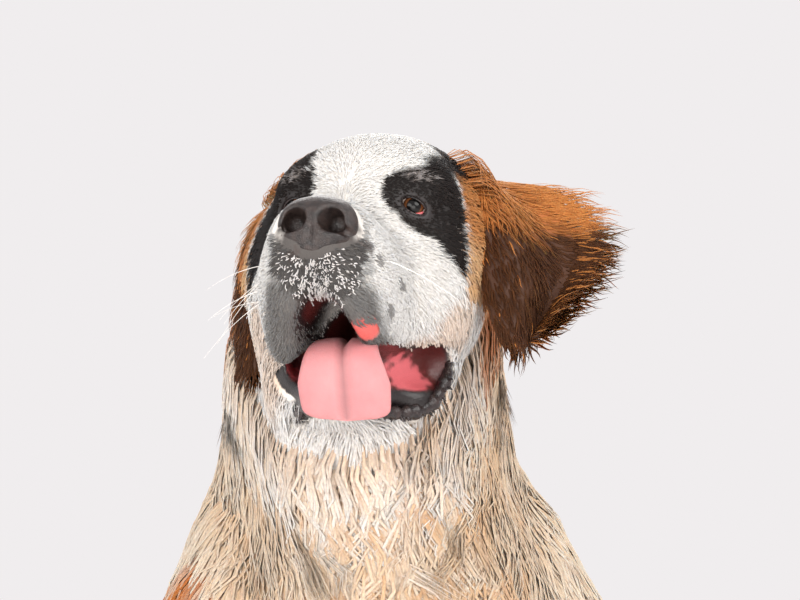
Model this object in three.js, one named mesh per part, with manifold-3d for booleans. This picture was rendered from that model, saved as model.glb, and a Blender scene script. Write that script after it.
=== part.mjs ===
// A life-size Saint Bernard sitting with its head raised and turned to its right, mouth open, tongue out.
// Millimetres, +Z up, the chest faces -Y and the dog's left is +X.
// The flesh is one blended field of tapered limbs, muscles and skull forms. It is meshed region by
// region, parted with thin plane cuts, and the coat's locks are fused into the node they grow from.
import * as THREE from "three";
import { mergeVertices } from "three/addons/utils/BufferGeometryUtils.js";
import Module from "manifold-3d";

const wasm = await Module();
wasm.setup();

// Driving dimensions.
const GAP = 0.3; // between nodes that touch
const FLOOR = 0;
const EYE_HEIGHT = 905; // of the point midway between the eyes
const EYE_FORWARD = -175;
const EYE_SIDE = -58;
const HEAD_TURN = 31; // degrees, to the dog's right
const HEAD_RAISE = 21; // degrees, nose up
const EYE_RADIUS = 12.5;
const EYE_SPREAD = 47; // eye centre from the midline
const EYE_DEPTH = -1; // eye centre ahead of the brow line
const LEG_SPREAD = 102; // forepaw from the midline
const HIND_SPREAD = 196;
const COLLAR_THICK = 5;
const COLLAR_WIDE = 16;
const COLLAR_AT = [-10, -20, 714]; // its middle, and the way up through it
const COLLAR_TILT = [-0.04, -0.36, 0.93];
const SEED = 20;

// Colours of the coat and the bare parts, as seen in daylight.
const COLOURS = {
  white: [0xf3e9dc, 0.85],
  orange: [0xc9793c, 0.85],
  dark_brown: [0x3c2417, 0.85],
  black_skin: [0x231c1b, 0.45],
  tongue: [0xe59a97, 0.4],
  eye: [0x3a2213, 0.12],
  collar: [0x2b2524, 0.6],
};

// A repeatable source of variation between 0 and 1.
let state = SEED;
const random = () => {
  state = (state * 16807) % 2147483647;
  return state / 2147483647;
};
const vary = (amount) => 1 + amount * (2 * random() - 1);

const add = (a, b) => [a[0] + b[0], a[1] + b[1], a[2] + b[2]];
const sub = (a, b) => [a[0] - b[0], a[1] - b[1], a[2] - b[2]];
const mul = (a, s) => [a[0] * s, a[1] * s, a[2] * s];
const dot = (a, b) => a[0] * b[0] + a[1] * b[1] + a[2] * b[2];
const cross = (a, b) => [
  a[1] * b[2] - a[2] * b[1],
  a[2] * b[0] - a[0] * b[2],
  a[0] * b[1] - a[1] * b[0],
];
const unit = (a) => mul(a, 1 / Math.hypot(...a));
const mix = (a, b, t) => add(mul(a, 1 - t), mul(b, t));

// The head's own frame: its left, forward and up, from the point midway between the eyes.
const turn = THREE.MathUtils.degToRad(HEAD_TURN);
const raise = THREE.MathUtils.degToRad(HEAD_RAISE);
const HEAD_AT = [EYE_SIDE, EYE_FORWARD, EYE_HEIGHT];
const LEFT = [Math.cos(turn), -Math.sin(turn), 0];
const FORWARD = [
  -Math.sin(turn) * Math.cos(raise),
  -Math.cos(turn) * Math.cos(raise),
  Math.sin(raise),
];
const UP = cross(FORWARD, LEFT);
const fromHead = ([x, y, z]) =>
  add(HEAD_AT, add(mul(LEFT, x), add(mul(FORWARD, y), mul(UP, z))));
const intoHead = (p) => {
  const d = sub(p, HEAD_AT);
  return [dot(d, LEFT), dot(d, FORWARD), dot(d, UP)];
};
const headDirection = ([x, y, z]) =>
  add(mul(LEFT, x), add(mul(FORWARD, y), mul(UP, z)));

// Field forms: a limb tapers from one radius to another, an egg is an ellipsoid.
// narrow squeezes a limb across the dog.
function limb(a, b, ra, rb, narrow = 1) {
  const axis = sub([b[0] / narrow, b[1], b[2]], [a[0] / narrow, a[1], a[2]]);
  const length2 = dot(axis, axis);
  return (p) => {
    const d = [(p[0] - a[0]) / narrow, p[1] - a[1], p[2] - a[2]];
    const t = Math.min(1, Math.max(0, dot(d, axis) / length2));
    return Math.hypot(...sub(d, mul(axis, t))) - (ra + (rb - ra) * t);
  };
}
function egg(c, r) {
  const least = Math.min(...r);
  return (p) => {
    const q = [(p[0] - c[0]) / r[0], (p[1] - c[1]) / r[1], (p[2] - c[2]) / r[2]];
    const k = Math.hypot(...q);
    const g = Math.hypot(q[0] / r[0], q[1] / r[1], q[2] / r[2]);
    return g > 0 ? (k * (k - 1)) / g : -least;
  };
}
const smoothMin = (a, b, k) => {
  const h = Math.max(0, k - Math.abs(a - b)) / k;
  return Math.min(a, b) - h * h * k * 0.25;
};
const blend = (forms, k) => (p) => forms.reduce((d, f) => smoothMin(d, f(p), k), 1e3);
const pair = (make) => [make(1), make(-1)];

// The trunk, from the breast to the rump that it sits on.
const RUMP = [0, 400, 118];
const LOIN = [0, 318, 268];
const RIBS = [0, 190, 405];
const BREAST = [0, 35, 505];
const WITHERS = [0, 120, 618];
const TRUNK_NARROW = 0.9;
const trunk = [
  limb(RUMP, LOIN, 124, 148, TRUNK_NARROW),
  limb(LOIN, RIBS, 148, 170, TRUNK_NARROW),
  limb(RIBS, BREAST, 170, 168, TRUNK_NARROW),
  limb(WITHERS, [0, 300, 440], 92, 118),
  egg([0, -62, 545], [118, 92, 128]),
];

// The neck rises from the withers to the back of the skull, with a full throat.
const NAPE = [-32, -62, 838];
const neck = [
  limb([0, 62, 622], NAPE, 138, 100),
  limb([-4, -62, 596], [-50, -128, 776], 104, 72),
];

const shoulderOf = (s) => egg([s * 112, 22, 540], [66, 92, 132]);
const foreleg = (s) => [
  limb([s * 120, -8, 528], [s * 118, 58, 400], 76, 64),
  limb([s * 116, 50, 400], [s * (LEG_SPREAD + 2), 2, 140], 62, 44),
  limb([s * (LEG_SPREAD + 2), 2, 140], [s * LEG_SPREAD, -24, 52], 45, 46),
];
const hindleg = (s) => [
  limb([s * 112, 392, 190], [s * 172, 250, 238], 122, 86),
  limb([s * 176, 250, 222], [s * 172, 412, 66], 74, 40),
  limb([s * 172, 420, 42], [s * (HIND_SPREAD - 4), 240, 40], 38, 37),
];

// A paw is a low pad with four toes in front. forward is -Y, spread is from the midline.
const TOE_SIDES = [-37, -13, 13, 37];
const TOE_REACH = [-32, -48, -48, -32];
const TOE_HEIGHT = 22;
const TOE_RADII = [15, 31, 24];
const pawOf = (x, y) => [egg([x, y, 32], [50, 56, 36])];
const FOREPAW_Y = -52;
const HINDPAW_Y = 210;

// The tail leaves the rump at floor level and curls round to the dog's left.
const TAIL = [
  [0, 498, 84],
  [26, 590, 52],
  [92, 668, 40],
  [178, 702, 36],
  [262, 690, 30],
];
const TAIL_RADII = [52, 42, 36, 31, 20];
const tail = TAIL.slice(1).map((p, i) => limb(TAIL[i], p, TAIL_RADII[i], TAIL_RADII[i + 1]));

// The head, in its own frame. Broad skull, marked stop, short deep muzzle with hanging upper lips.
const skull = [
  egg([0, -72, 4], [86, 98, 80]),
  egg([0, -22, 14], [60, 44, 42]),
  ...pair((s) => egg([s * 40, -14, 16], [28, 26, 20])),
  ...pair((s) => egg([s * 60, -58, -42], [30, 60, 54])),
];
const muzzle = [
  limb([0, -6, -42], [0, 74, -54], 36, 30),
  ...pair((s) => egg([s * 21, 52, -72], [24, 40, 45])),
  ...pair((s) => egg([s * 35, 8, -86], [18, 60, 44])),
];
const JAW_JOINT = [0, -78, -66];
const CHIN = [0, -14, -160];
const lowerJaw = [
  limb(JAW_JOINT, CHIN, 44, 19),
  ...pair((s) => limb([s * 42, -84, -98], [s * 20, -16, -160], 21, 13)),
  ...pair((s) => limb([s * 52, -62, -106], [s * 48, -58, -142], 14, 11)),
];
const mouth = limb([0, -50, -98], [0, 110, -172], 20, 62, 0.72);
const headForms = blend([blend([...skull, ...muzzle], 24), blend(lowerJaw, 16)], 10);
const carve = (d, cut, k) => -smoothMin(-d, cut, k);
const bodyField = blend(
  [
    ...trunk,
    ...neck,
    ...pair(shoulderOf),
    ...foreleg(1),
    ...foreleg(-1),
    ...hindleg(1),
    ...hindleg(-1),
    ...tail,
  ],
  38,
);
const pawField = blend(
  [LEG_SPREAD, -LEG_SPREAD].flatMap((x) => pawOf(x, FOREPAW_Y)).concat(
    [HIND_SPREAD, -HIND_SPREAD].flatMap((x) => pawOf(x, HINDPAW_Y)),
  ),
  9,
);
// Limits where the paws' finer forms and the head's can matter, so that the rest is quick to work out.
const PAW_TOP = 130;
const HEAD_REACH = 330;
function flesh(p) {
  let d = bodyField(p);
  if (p[2] < PAW_TOP) d = smoothMin(d, pawField(p), 12);
  const q = intoHead(p);
  if (Math.hypot(...q) < HEAD_REACH) d = carve(smoothMin(d, headForms(q), 34), mouth(q), 8);
  return d;
}

const CORNERS = [0, 1, 2, 3, 4, 5, 6, 7].map((c) => [c & 1, (c >> 1) & 1, c >> 2]);
// Whether the corners of a cell that are in the set hang together along its edges.
function hangsTogether(set) {
  const start = set.indexOf(true);
  if (start < 0) return true;
  const seen = [start];
  for (const c of seen)
    for (const bit of [1, 2, 4]) if (set[c ^ bit] && !seen.includes(c ^ bit)) seen.push(c ^ bit);
  return seen.length === set.filter(Boolean).length;
}
// Fills the cells that two sheets of the surface would share, so that the mesh is one closed skin.
function untangle(values, count, index, step) {
  for (let again = true; again; ) {
    again = false;
    for (let k = 0; k < count[2] - 1; k++)
      for (let j = 0; j < count[1] - 1; j++)
        for (let i = 0; i < count[0] - 1; i++) {
          const at = CORNERS.map(([a, b, c]) => index(i + a, j + b, k + c));
          const inside = at.map((n) => values[n] <= 0);
          if (hangsTogether(inside) && hangsTogether(inside.map((v) => !v))) continue;
          const nearest = at.filter((n) => values[n] > 0).reduce((a, b) => (values[b] < values[a] ? b : a));
          values[nearest] = -step * 0.02;
          again = true;
        }
  }
}

// Meshes a field on a rectilinear grid, one vertex to each cell that the surface crosses.
// at turns grid coordinates into the part's frame.
function meshField(field, low, high, step, at = (p) => p) {
  const count = low.map((v, i) => Math.ceil((high[i] - v) / step) + 1);
  const grid = (i, j, k) => [low[0] + i * step, low[1] + j * step, low[2] + k * step];
  const index = (i, j, k) => i + count[0] * (j + count[1] * k);
  const values = new Float64Array(count[0] * count[1] * count[2]);
  for (let k = 0; k < count[2]; k++)
    for (let j = 0; j < count[1]; j++)
      for (let i = 0; i < count[0]; i++) {
        const edge = [i, j, k].some((v, a) => v === 0 || v === count[a] - 1);
        const value = field(at(grid(i, j, k)));
        values[index(i, j, k)] = edge ? Math.max(value, step * 0.05) : value;
      }
  untangle(values, count, index, step);
  const vertexOf = new Map();
  const points = [];
  for (let k = 0; k < count[2] - 1; k++)
    for (let j = 0; j < count[1] - 1; j++)
      for (let i = 0; i < count[0] - 1; i++) {
        const v = CORNERS.map(([a, b, c]) => values[index(i + a, j + b, k + c)]);
        if (v.every((x) => x > 0) || v.every((x) => x <= 0)) continue;
        const sum = [0, 0, 0];
        let crossings = 0;
        for (let c = 0; c < 8; c++)
          for (const bit of [1, 2, 4]) {
            const e = c | bit;
            if (e === c || v[c] > 0 === v[e] > 0) continue;
            const t = v[c] / (v[c] - v[e]);
            CORNERS[c].forEach((x, a) => (sum[a] += x + (CORNERS[e][a] - x) * t));
            crossings++;
          }
        const cell = grid(i, j, k);
        vertexOf.set(index(i, j, k), points.length);
        points.push(at(cell.map((x, a) => x + (sum[a] / crossings) * step)));
      }
  const faces = [];
  const quad = (a, b, c, d, flip) => {
    const q = [a, b, c, d].map((n) => vertexOf.get(n));
    const short = (m, n) => Math.hypot(...sub(points[q[m]], points[q[n]]));
    const tris = short(0, 2) <= short(1, 3) ? [[0, 1, 2], [0, 2, 3]] : [[0, 1, 3], [1, 2, 3]];
    for (const [x, y, z] of tris) faces.push(...(flip ? [q[z], q[y], q[x]] : [q[x], q[y], q[z]]));
  };
  for (let k = 0; k < count[2] - 1; k++)
    for (let j = 0; j < count[1] - 1; j++)
      for (let i = 0; i < count[0] - 1; i++) {
        const here = values[index(i, j, k)] > 0;
        if (j && k && here !== values[index(i + 1, j, k)] > 0)
          quad(index(i, j - 1, k - 1), index(i, j, k - 1), index(i, j, k), index(i, j - 1, k), here);
        if (i && k && here !== values[index(i, j + 1, k)] > 0)
          quad(index(i - 1, j, k - 1), index(i - 1, j, k), index(i, j, k), index(i, j, k - 1), here);
        if (i && j && here !== values[index(i, j, k + 1)] > 0)
          quad(index(i - 1, j - 1, k), index(i, j - 1, k), index(i, j, k), index(i - 1, j, k), here);
      }
  return solidFrom(points, faces);
}

// Closed meshes in and out of the boolean library.
function solidFrom(points, faces) {
  const mesh = new wasm.Mesh({
    numProp: 3,
    vertProperties: new Float32Array(points.flat()),
    triVerts: new Uint32Array(faces),
  });
  const made = new wasm.Manifold(mesh);
  return made.volume() < 0 ? solidFrom(points, flipped(faces)) : made;
}
const flipped = (faces) => faces.map((v, i) => faces[i - (i % 3) + 2 - (i % 3)]);
function solidOf(geometry) {
  const g = geometry.clone();
  g.deleteAttribute("normal");
  g.deleteAttribute("uv");
  const merged = mergeVertices(g, 1e-3);
  return new wasm.Manifold(
    new wasm.Mesh({
      numProp: 3,
      vertProperties: merged.attributes.position.array,
      triVerts: new Uint32Array(merged.index.array),
    }),
  );
}
const largest = (solid) => solid.decompose().reduce((a, b) => (b.volume() > a.volume() ? b : a));
function geometryOf(solid) {
  const m = solid.getMesh();
  const v = new Float32Array(m.numVert * 3);
  for (let i = 0; i < m.numVert; i++)
    v.set(m.vertProperties.subarray(i * m.numProp, i * m.numProp + 3), i * 3);
  return new THREE.BufferGeometry()
    .setAttribute("position", new THREE.BufferAttribute(v, 3))
    .setIndex(new THREE.BufferAttribute(m.triVerts, 1));
}

// What is left of a solid once another is cut from it with a gap all round.
const NUDGES = [[1, 0, 0], [-1, 0, 0], [0, 1, 0], [0, -1, 0], [0, 0, 1], [0, 0, -1]];
function clearOf(solid, other) {
  let made = solid.subtract(other);
  for (const way of NUDGES)
    made = made.subtract(solidOf(geometryOf(other).translate(...mul(way, 1.5 * GAP))));
  return largest(made);
}

// The side of a plane, through a point, that the normal points to, kept half a gap off the plane.
const FAR = 1600;
function halfSpace(point, normal, off = GAP / 2) {
  const g = new THREE.BoxGeometry(2 * FAR, 2 * FAR, 2 * FAR);
  const n = unit(normal);
  g.applyQuaternion(
    new THREE.Quaternion().setFromUnitVectors(new THREE.Vector3(0, 0, 1), new THREE.Vector3(...n)),
  );
  g.translate(...add(point, mul(n, FAR + off)));
  return solidOf(g);
}
function block(low, high, off = GAP / 2) {
  const size = low.map((v, i) => high[i] - v - 2 * off);
  const g = new THREE.BoxGeometry(...size);
  g.translate(...low.map((v, i) => (v + high[i]) / 2));
  return solidOf(g);
}

// The cuts between nodes.
const NECK_CUT = { at: [0, 4, 684], way: unit([-0.05, -0.5, 0.86]) };
const HEAD_CUT = { at: fromHead([0, -118, -70]), way: headDirection([0, 0.8, 0.42]) };
const MOUTH_CUT = { at: fromHead([0, -96, -64]), way: headDirection([0, 0.56, 0.83]) };
const FORELEG_BOX = { low: [44, -300, -60], high: [420, 132, 372] };
const HINDLEG_BOX = { low: [92, 132, -60], high: [460, 640, 352] };
const FOREPAW_BOX = { low: [20, -300, -60], high: [420, 132, 82] };
const HINDPAW_BOX = { low: [110, 100, -60], high: [420, 252, 108] };
const TAIL_BOX = { low: [-300, 520, -60], high: [500, 1000, 300] };
const sideBox = ({ low, high }, s, off) =>
  s > 0
    ? block(low, high, off)
    : block([-high[0], low[1], low[2]], [-low[0], high[1], high[2]], off);
const ABOVE_FLOOR = halfSpace([0, 0, FLOOR], [0, 0, 1], 0);

// A flat lock: it leaves the surface at its root, bends over along its lie and tapers to its tip.
// out is the way out of the skin, lie the way the hair runs, sink how deep its root is.
function lock({ root, out, lie, length, wide, thick, lift = 0.3, sink = 14, sway = 0, drop = 0 }) {
  const side = unit(cross(lie, out));
  const STATIONS = [
    { along: -0.12, rise: -1, broad: 0.7 },
    { along: 0.22, rise: 0.75, broad: 1 },
    { along: 0.62, rise: 1, broad: 0.72 },
  ];
  const height = lift * length;
  const centre = ({ along, rise }) => {
    const up = rise < 0 ? -sink : height * rise;
    const bend = sway * length * along * along;
    const base = add(root, add(mul(lie, along * length), mul(out, up)));
    return add(add(base, mul(side, bend)), [0, 0, -drop * length * Math.max(0, along) ** 2]);
  };
  const points = STATIONS.flatMap((s) => {
    const c = centre(s);
    const w = (wide * s.broad) / 2;
    const t = (thick * s.broad) / 2;
    return [add(c, mul(side, w)), add(c, mul(out, t)), add(c, mul(side, -w))];
  });
  const tip = centre({ along: 1, rise: 0.55 });
  points.push(tip);
  const last = points.length - 1;
  const SIDES = 3;
  const faces = [0, 1, 2];
  for (let s = 0; s < STATIONS.length - 1; s++)
    for (let i = 0; i < SIDES; i++) {
      const a = s * SIDES + i;
      const b = s * SIDES + ((i + 1) % SIDES);
      faces.push(a, a + SIDES, b, b, a + SIDES, b + SIDES);
    }
  const top = (STATIONS.length - 1) * SIDES;
  for (let i = 0; i < SIDES; i++) faces.push(top + i, last, top + ((i + 1) % SIDES));
  return solidFrom(points, faces);
}

const gradient = (field, p, h = 2) =>
  unit([0, 1, 2].map((a) => {
    const d = [0, 0, 0];
    d[a] = h;
    return field(add(p, d)) - field(sub(p, d));
  }));
// The first point of the skin, going out from a point inside.
function skinFrom(inside, way, reach = 420) {
  const STEP = 6;
  let t = 0;
  while (t < reach && flesh(add(inside, mul(way, t))) < 0) t += STEP;
  return add(inside, mul(way, t));
}
const alongSkin = (way, out) => unit(sub(way, mul(out, dot(way, out))));

// Locks in rings round a line inside the body. The line's points are spaced by its length.
// keep says where they grow, lieAt which way they run. A ring lies square to the line, or to round.
function ringLocks({ line, rows, around, keep, lieAt, size, round, from = [0, 1, 0] }) {
  const made = [];
  for (let r = 0; r < rows; r++) {
    const t = ((r + 0.5) / rows) * (line.length - 1);
    const n = Math.min(line.length - 2, Math.floor(t));
    const centre = mix(line[n], line[n + 1], t - n);
    const axis = unit(round ?? sub(line[n + 1], line[n]));
    const u = unit(cross(axis, from));
    const v = cross(axis, u);
    for (let a = 0; a < around; a++) {
      const angle = ((a + (r % 2) / 2) / around + 0.02 * (vary(1) - 1)) * 2 * Math.PI;
      const way = add(mul(u, Math.cos(angle)), mul(v, Math.sin(angle)));
      const root = skinFrom(centre, way);
      if (!keep(root, way)) continue;
      const out = gradient(flesh, root, 8);
      const lie = alongSkin(lieAt(root), out);
      made.push(lock({ root, out, lie, ...size(root) }));
    }
  }
  return made;
}

// Joins a node's locks to its body, trims all of it to the node's region and keeps the largest body.
function dressed(base, locks, trims = []) {
  let made = base;
  for (const piece of locks) made = made.add(piece);
  for (const trim of trims) made = made.intersect(trim);
  return largest(made.intersect(ABOVE_FLOOR));
}

const group = new THREE.Group();
const solids = {};
function put(name, solid, colour) {
  const [hex, roughness] = COLOURS[colour];
  const material = new THREE.MeshStandardMaterial({ color: hex, roughness, metalness: 0 });
  const mesh = new THREE.Mesh(geometryOf(solid), material);
  mesh.name = name;
  group.add(mesh);
  solids[name] = solid;
}

// The head's pieces are meshed in the head's own frame.
const headMesh = (field, low, high, step) => meshField(field, low, high, step, fromHead);

// Eyes.
const eyeAt = (s) => fromHead([s * EYE_SPREAD, EYE_DEPTH, 0]);
const ball = (centre, radius) => {
  const g = new THREE.SphereGeometry(radius, 10, 7);
  g.translate(...centre);
  return solidOf(g);
};

// The nose pad, with its two comma-shaped nostrils opening to the front and sides.
const NOSE = [0, 87, -46];
const nosePad = blend(
  [
    egg(NOSE, [28, 17, 21]),
    ...pair((s) => egg([s * 16, NOSE[1] - 2, NOSE[2] - 1], [13.5, 16, 15])),
    egg([0, NOSE[1], NOSE[2] - 14], [9, 11, 11]),
  ],
  7,
);
const nostrils = pair((s) =>
  limb([s * 14, NOSE[1] + 20, NOSE[2] + 1], [s * 25, NOSE[1] + 2, NOSE[2] - 5], 8, 4),
);
const noseField = (p) => nostrils.reduce((d, n) => carve(d, n(p), 3), nosePad(p));
const NOSE_STEP = 7;
const NOSE_LOW = [-36, 62, -80];
const NOSE_HIGH = [36, 118, -18];
const inNose = (field) => (p) => field(intoHead(p));
const nose = headMesh(inNose(noseField), NOSE_LOW, NOSE_HIGH, NOSE_STEP);
const noseRoom = headMesh(inNose((p) => nosePad(p) - 1.8), NOSE_LOW, NOSE_HIGH, NOSE_STEP);
put("nose", nose, "black_skin");

// The tongue: a broad strap that leaves the mouth over the lower lip and hangs down in front of the chin.
const TONGUE_PATH = [
  [2, -44, -116],
  [6, 2, -122],
  [11, 27, -136],
  [15, 26, -158],
  [16, 14, -184],
];
const TONGUE_WIDE = [42, 58, 68, 76, 62];
const TONGUE_THICK = [16, 15, 12, 9, 7];
function tongueSolid(extra) {
  const path = new THREE.CatmullRomCurve3(TONGUE_PATH.map((p) => new THREE.Vector3(...p)));
  const RINGS = 10;
  const SECTION = 12;
  const points = [];
  const valueAt = (list, t) => {
    const k = t * (list.length - 1);
    const n = Math.min(list.length - 2, Math.floor(k));
    return list[n] + (list[n + 1] - list[n]) * (k - n);
  };
  for (let r = 0; r < RINGS; r++) {
    const t = r / (RINGS - 1);
    const c = path.getPoint(t).toArray();
    const way = path.getTangent(t).toArray();
    const up = unit(cross([1, 0, 0], way));
    const round = r === 0 || r === RINGS - 1 ? 0.72 : 1;
    const w = (valueAt(TONGUE_WIDE, t) * round) / 2 + extra;
    const h = (valueAt(TONGUE_THICK, t) * round) / 2 + extra;
    const slide = r === 0 ? -extra : r === RINGS - 1 ? extra : 0;
    for (let i = 0; i < SECTION; i++) {
      const a = (i / SECTION) * 2 * Math.PI;
      const groove = i === SECTION / 4 ? 0.45 : 1;
      const side = [w * Math.cos(a), 0, 0];
      points.push(
        fromHead(add(add(c, mul(way, slide)), add(side, mul(up, h * Math.sin(a) * groove)))),
      );
    }
  }
  const faces = [];
  for (let r = 0; r < RINGS - 1; r++)
    for (let i = 0; i < SECTION; i++) {
      const a = r * SECTION + i;
      const b = r * SECTION + ((i + 1) % SECTION);
      faces.push(a, b, a + SECTION, b, b + SECTION, a + SECTION);
    }
  const end = (RINGS - 1) * SECTION;
  for (let i = 1; i < SECTION - 1; i++) {
    faces.push(0, i + 1, i);
    faces.push(end, end + i, end + i + 1);
  }
  return solidFrom(points, faces);
}
const tongue = tongueSolid(0);
const tongueRoom = tongueSolid(0.6);
put("tongue", tongue, "tongue");

// Head: skull, muzzle and upper lips, with lids round each eye.
const LID_RADIUS = EYE_RADIUS + 4.5;
const lidOf = (s) => egg([s * EYE_SPREAD, EYE_DEPTH, 0], [LID_RADIUS, LID_RADIUS, LID_RADIUS]);
const headWithLids = (p) => {
  const q = intoHead(p);
  return [1, -1].reduce(
    (d, s) => smoothMin(d, lidOf(s)(q), 7),
    flesh(p),
  );
};
// The opening between the lids: an almond that runs in along the gaze.
function lidOpening(s) {
  const HALF_LONG = 11.5;
  const HALF_HIGH = 6.5;
  const DEEP = 40;
  const shape = new THREE.Shape();
  shape.moveTo(-HALF_LONG, 0);
  shape.quadraticCurveTo(0, 2 * HALF_HIGH, HALF_LONG, 0);
  shape.quadraticCurveTo(0, -2 * HALF_HIGH, -HALF_LONG, 0);
  const g = new THREE.ExtrudeGeometry(shape, { depth: DEEP, bevelEnabled: false, curveSegments: 5 });
  const gaze = unit(headDirection([s * 0.42, 1, 0.02]));
  const across = unit(cross(gaze, headDirection([0, 0, 1])));
  const up = cross(across, gaze);
  const basis = new THREE.Matrix4().makeBasis(
    new THREE.Vector3(...across),
    new THREE.Vector3(...up),
    new THREE.Vector3(...cross(across, up)),
  );
  const facing = dot(cross(across, up), gaze) > 0 ? 0 : -DEEP;
  g.translate(0, 0, facing);
  g.applyMatrix4(basis);
  g.translate(...eyeAt(s));
  return solidOf(g);
}
const HEAD_LOW = [-110, -190, -150];
const HEAD_HIGH = [110, 112, 96];
const HEAD_STEP = 16.6;
let head = meshField(headWithLids, HEAD_LOW, HEAD_HIGH, HEAD_STEP, fromHead)
  .intersect(halfSpace(HEAD_CUT.at, HEAD_CUT.way))
  .intersect(halfSpace(MOUTH_CUT.at, MOUTH_CUT.way));
for (const s of [1, -1])
  head = head.subtract(ball(eyeAt(s), EYE_RADIUS + GAP)).subtract(lidOpening(s));
head = largest(head.subtract(noseRoom).subtract(tongueRoom));
for (const s of [1, -1])
  put(s > 0 ? "eye_left" : "eye_right", ball(eyeAt(s), EYE_RADIUS), "eye");

// Lower jaw with the hanging corners of its lip.
const JAW_LOW = [-90, -190, -225];
const JAW_HIGH = [90, 60, -60];
const JAW_STEP = 16.5;
let jaw = meshField(flesh, JAW_LOW, JAW_HIGH, JAW_STEP, fromHead)
  .intersect(halfSpace(HEAD_CUT.at, HEAD_CUT.way))
  .intersect(halfSpace(MOUTH_CUT.at, mul(MOUTH_CUT.way, -1)))
  .subtract(tongueRoom);
jaw = largest(jaw);
put("lower_jaw", jaw, "black_skin");

// Ears: a bent flap between a front edge and a back edge.
function earFlap({ front, back, bulge, waves, thick }) {
  const ROWS = 6;
  const COLUMNS = 4;
  const edge = (list) => new THREE.CatmullRomCurve3(list.map((p) => new THREE.Vector3(...p)));
  const f = edge(front);
  const b = edge(back);
  const middle = [];
  for (let r = 0; r <= ROWS; r++)
    for (let c = 0; c <= COLUMNS; c++) {
      const t = r / ROWS;
      const v = c / COLUMNS;
      const a = f.getPoint(t).toArray();
      const e = b.getPoint(t).toArray();
      const out = unit(add(cross(sub(e, a), [0, 0, -1]), [0, 0, 0.2]));
      const bow = bulge * Math.sin(Math.PI * waves * v) * (0.4 + 0.6 * t);
      middle.push(add(mix(a, e, v), mul(out, bow)));
    }
  const at = (r, c) => r * (COLUMNS + 1) + c;
  const normals = middle.map((_, n) => {
    const r = Math.floor(n / (COLUMNS + 1));
    const c = n % (COLUMNS + 1);
    const du = sub(middle[at(Math.min(r + 1, ROWS), c)], middle[at(Math.max(r - 1, 0), c)]);
    const dv = sub(middle[at(r, Math.min(c + 1, COLUMNS))], middle[at(r, Math.max(c - 1, 0))]);
    return unit(cross(du, dv));
  });
  const outer = middle.map((p, n) => fromHead(add(p, mul(normals[n], thick / 2))));
  const inner = middle.map((p, n) => fromHead(add(p, mul(normals[n], -thick / 2))));
  const points = [...outer, ...inner];
  const half = outer.length;
  const faces = [];
  for (let r = 0; r < ROWS; r++)
    for (let c = 0; c < COLUMNS; c++) {
      const [p, q, m, n] = [at(r, c), at(r, c + 1), at(r + 1, c + 1), at(r + 1, c)];
      faces.push(p, q, m, p, m, n);
      faces.push(half + p, half + m, half + q, half + p, half + n, half + m);
    }
  const rim = [];
  for (let c = 0; c < COLUMNS; c++) rim.push(at(0, c));
  for (let r = 0; r < ROWS; r++) rim.push(at(r, COLUMNS));
  for (let c = COLUMNS; c > 0; c--) rim.push(at(ROWS, c));
  for (let r = ROWS; r > 0; r--) rim.push(at(r, 0));
  rim.forEach((p, i) => {
    const q = rim[(i + 1) % rim.length];
    faces.push(p, half + p, half + q, p, half + q, q);
  });
  return { solid: solidFrom(points, faces), outer, normals, at, ROWS, COLUMNS };
}
// The left ear is blown out by the wind, the right one hangs beside the cheek.
const EARS = {
  left: {
    front: [[58, -66, 66], [78, -62, 17], [92, -60, -46], [110, -64, -88]],
    back: [[62, -114, 68], [122, -116, 46], [160, -104, 2], [136, -86, -72]],
    bulge: 11,
    waves: 2,
    thick: 9,
  },
  right: {
    front: [[-58, -66, 64], [-82, -60, 14], [-88, -62, -44], [-78, -66, -108]],
    back: [[-64, -112, 66], [-116, -102, 30], [-124, -92, -34], [-112, -86, -102]],
    bulge: -9,
    waves: 1,
    thick: 9,
  },
};
const headRoom = headMesh((p) => flesh(p) - GAP - 0.4, HEAD_LOW, HEAD_HIGH, HEAD_STEP);
function earNode(side) {
  const flap = earFlap(EARS[side]);
  const locks = [];
  // Fringe along the back edge and the root's top, running out and down the flap.
  for (let r = 1; r <= flap.ROWS; r++) {
    const root = flap.outer[flap.at(r, flap.COLUMNS)];
    const inward = flap.outer[flap.at(r, flap.COLUMNS - 2)];
    const above = flap.outer[flap.at(r - 1, flap.COLUMNS)];
    const way = unit(add(unit(sub(root, inward)), mul(unit(sub(root, above)), 1.1)));
    locks.push(
      lock({
        root: mix(root, inward, 0.7),
        out: alongSkin(headDirection(flap.normals[flap.at(r, flap.COLUMNS)]), way),
        lie: way,
        length: 40 * vary(0.15),
        wide: 36,
        thick: 9,
        lift: 0.04,
        sink: 3,
      }),
    );
  }
  let made = flap.solid;
  for (const piece of locks) made = made.add(piece);
  return largest(made.subtract(head).subtract(headRoom));
}
put("head", head, "white");

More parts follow.
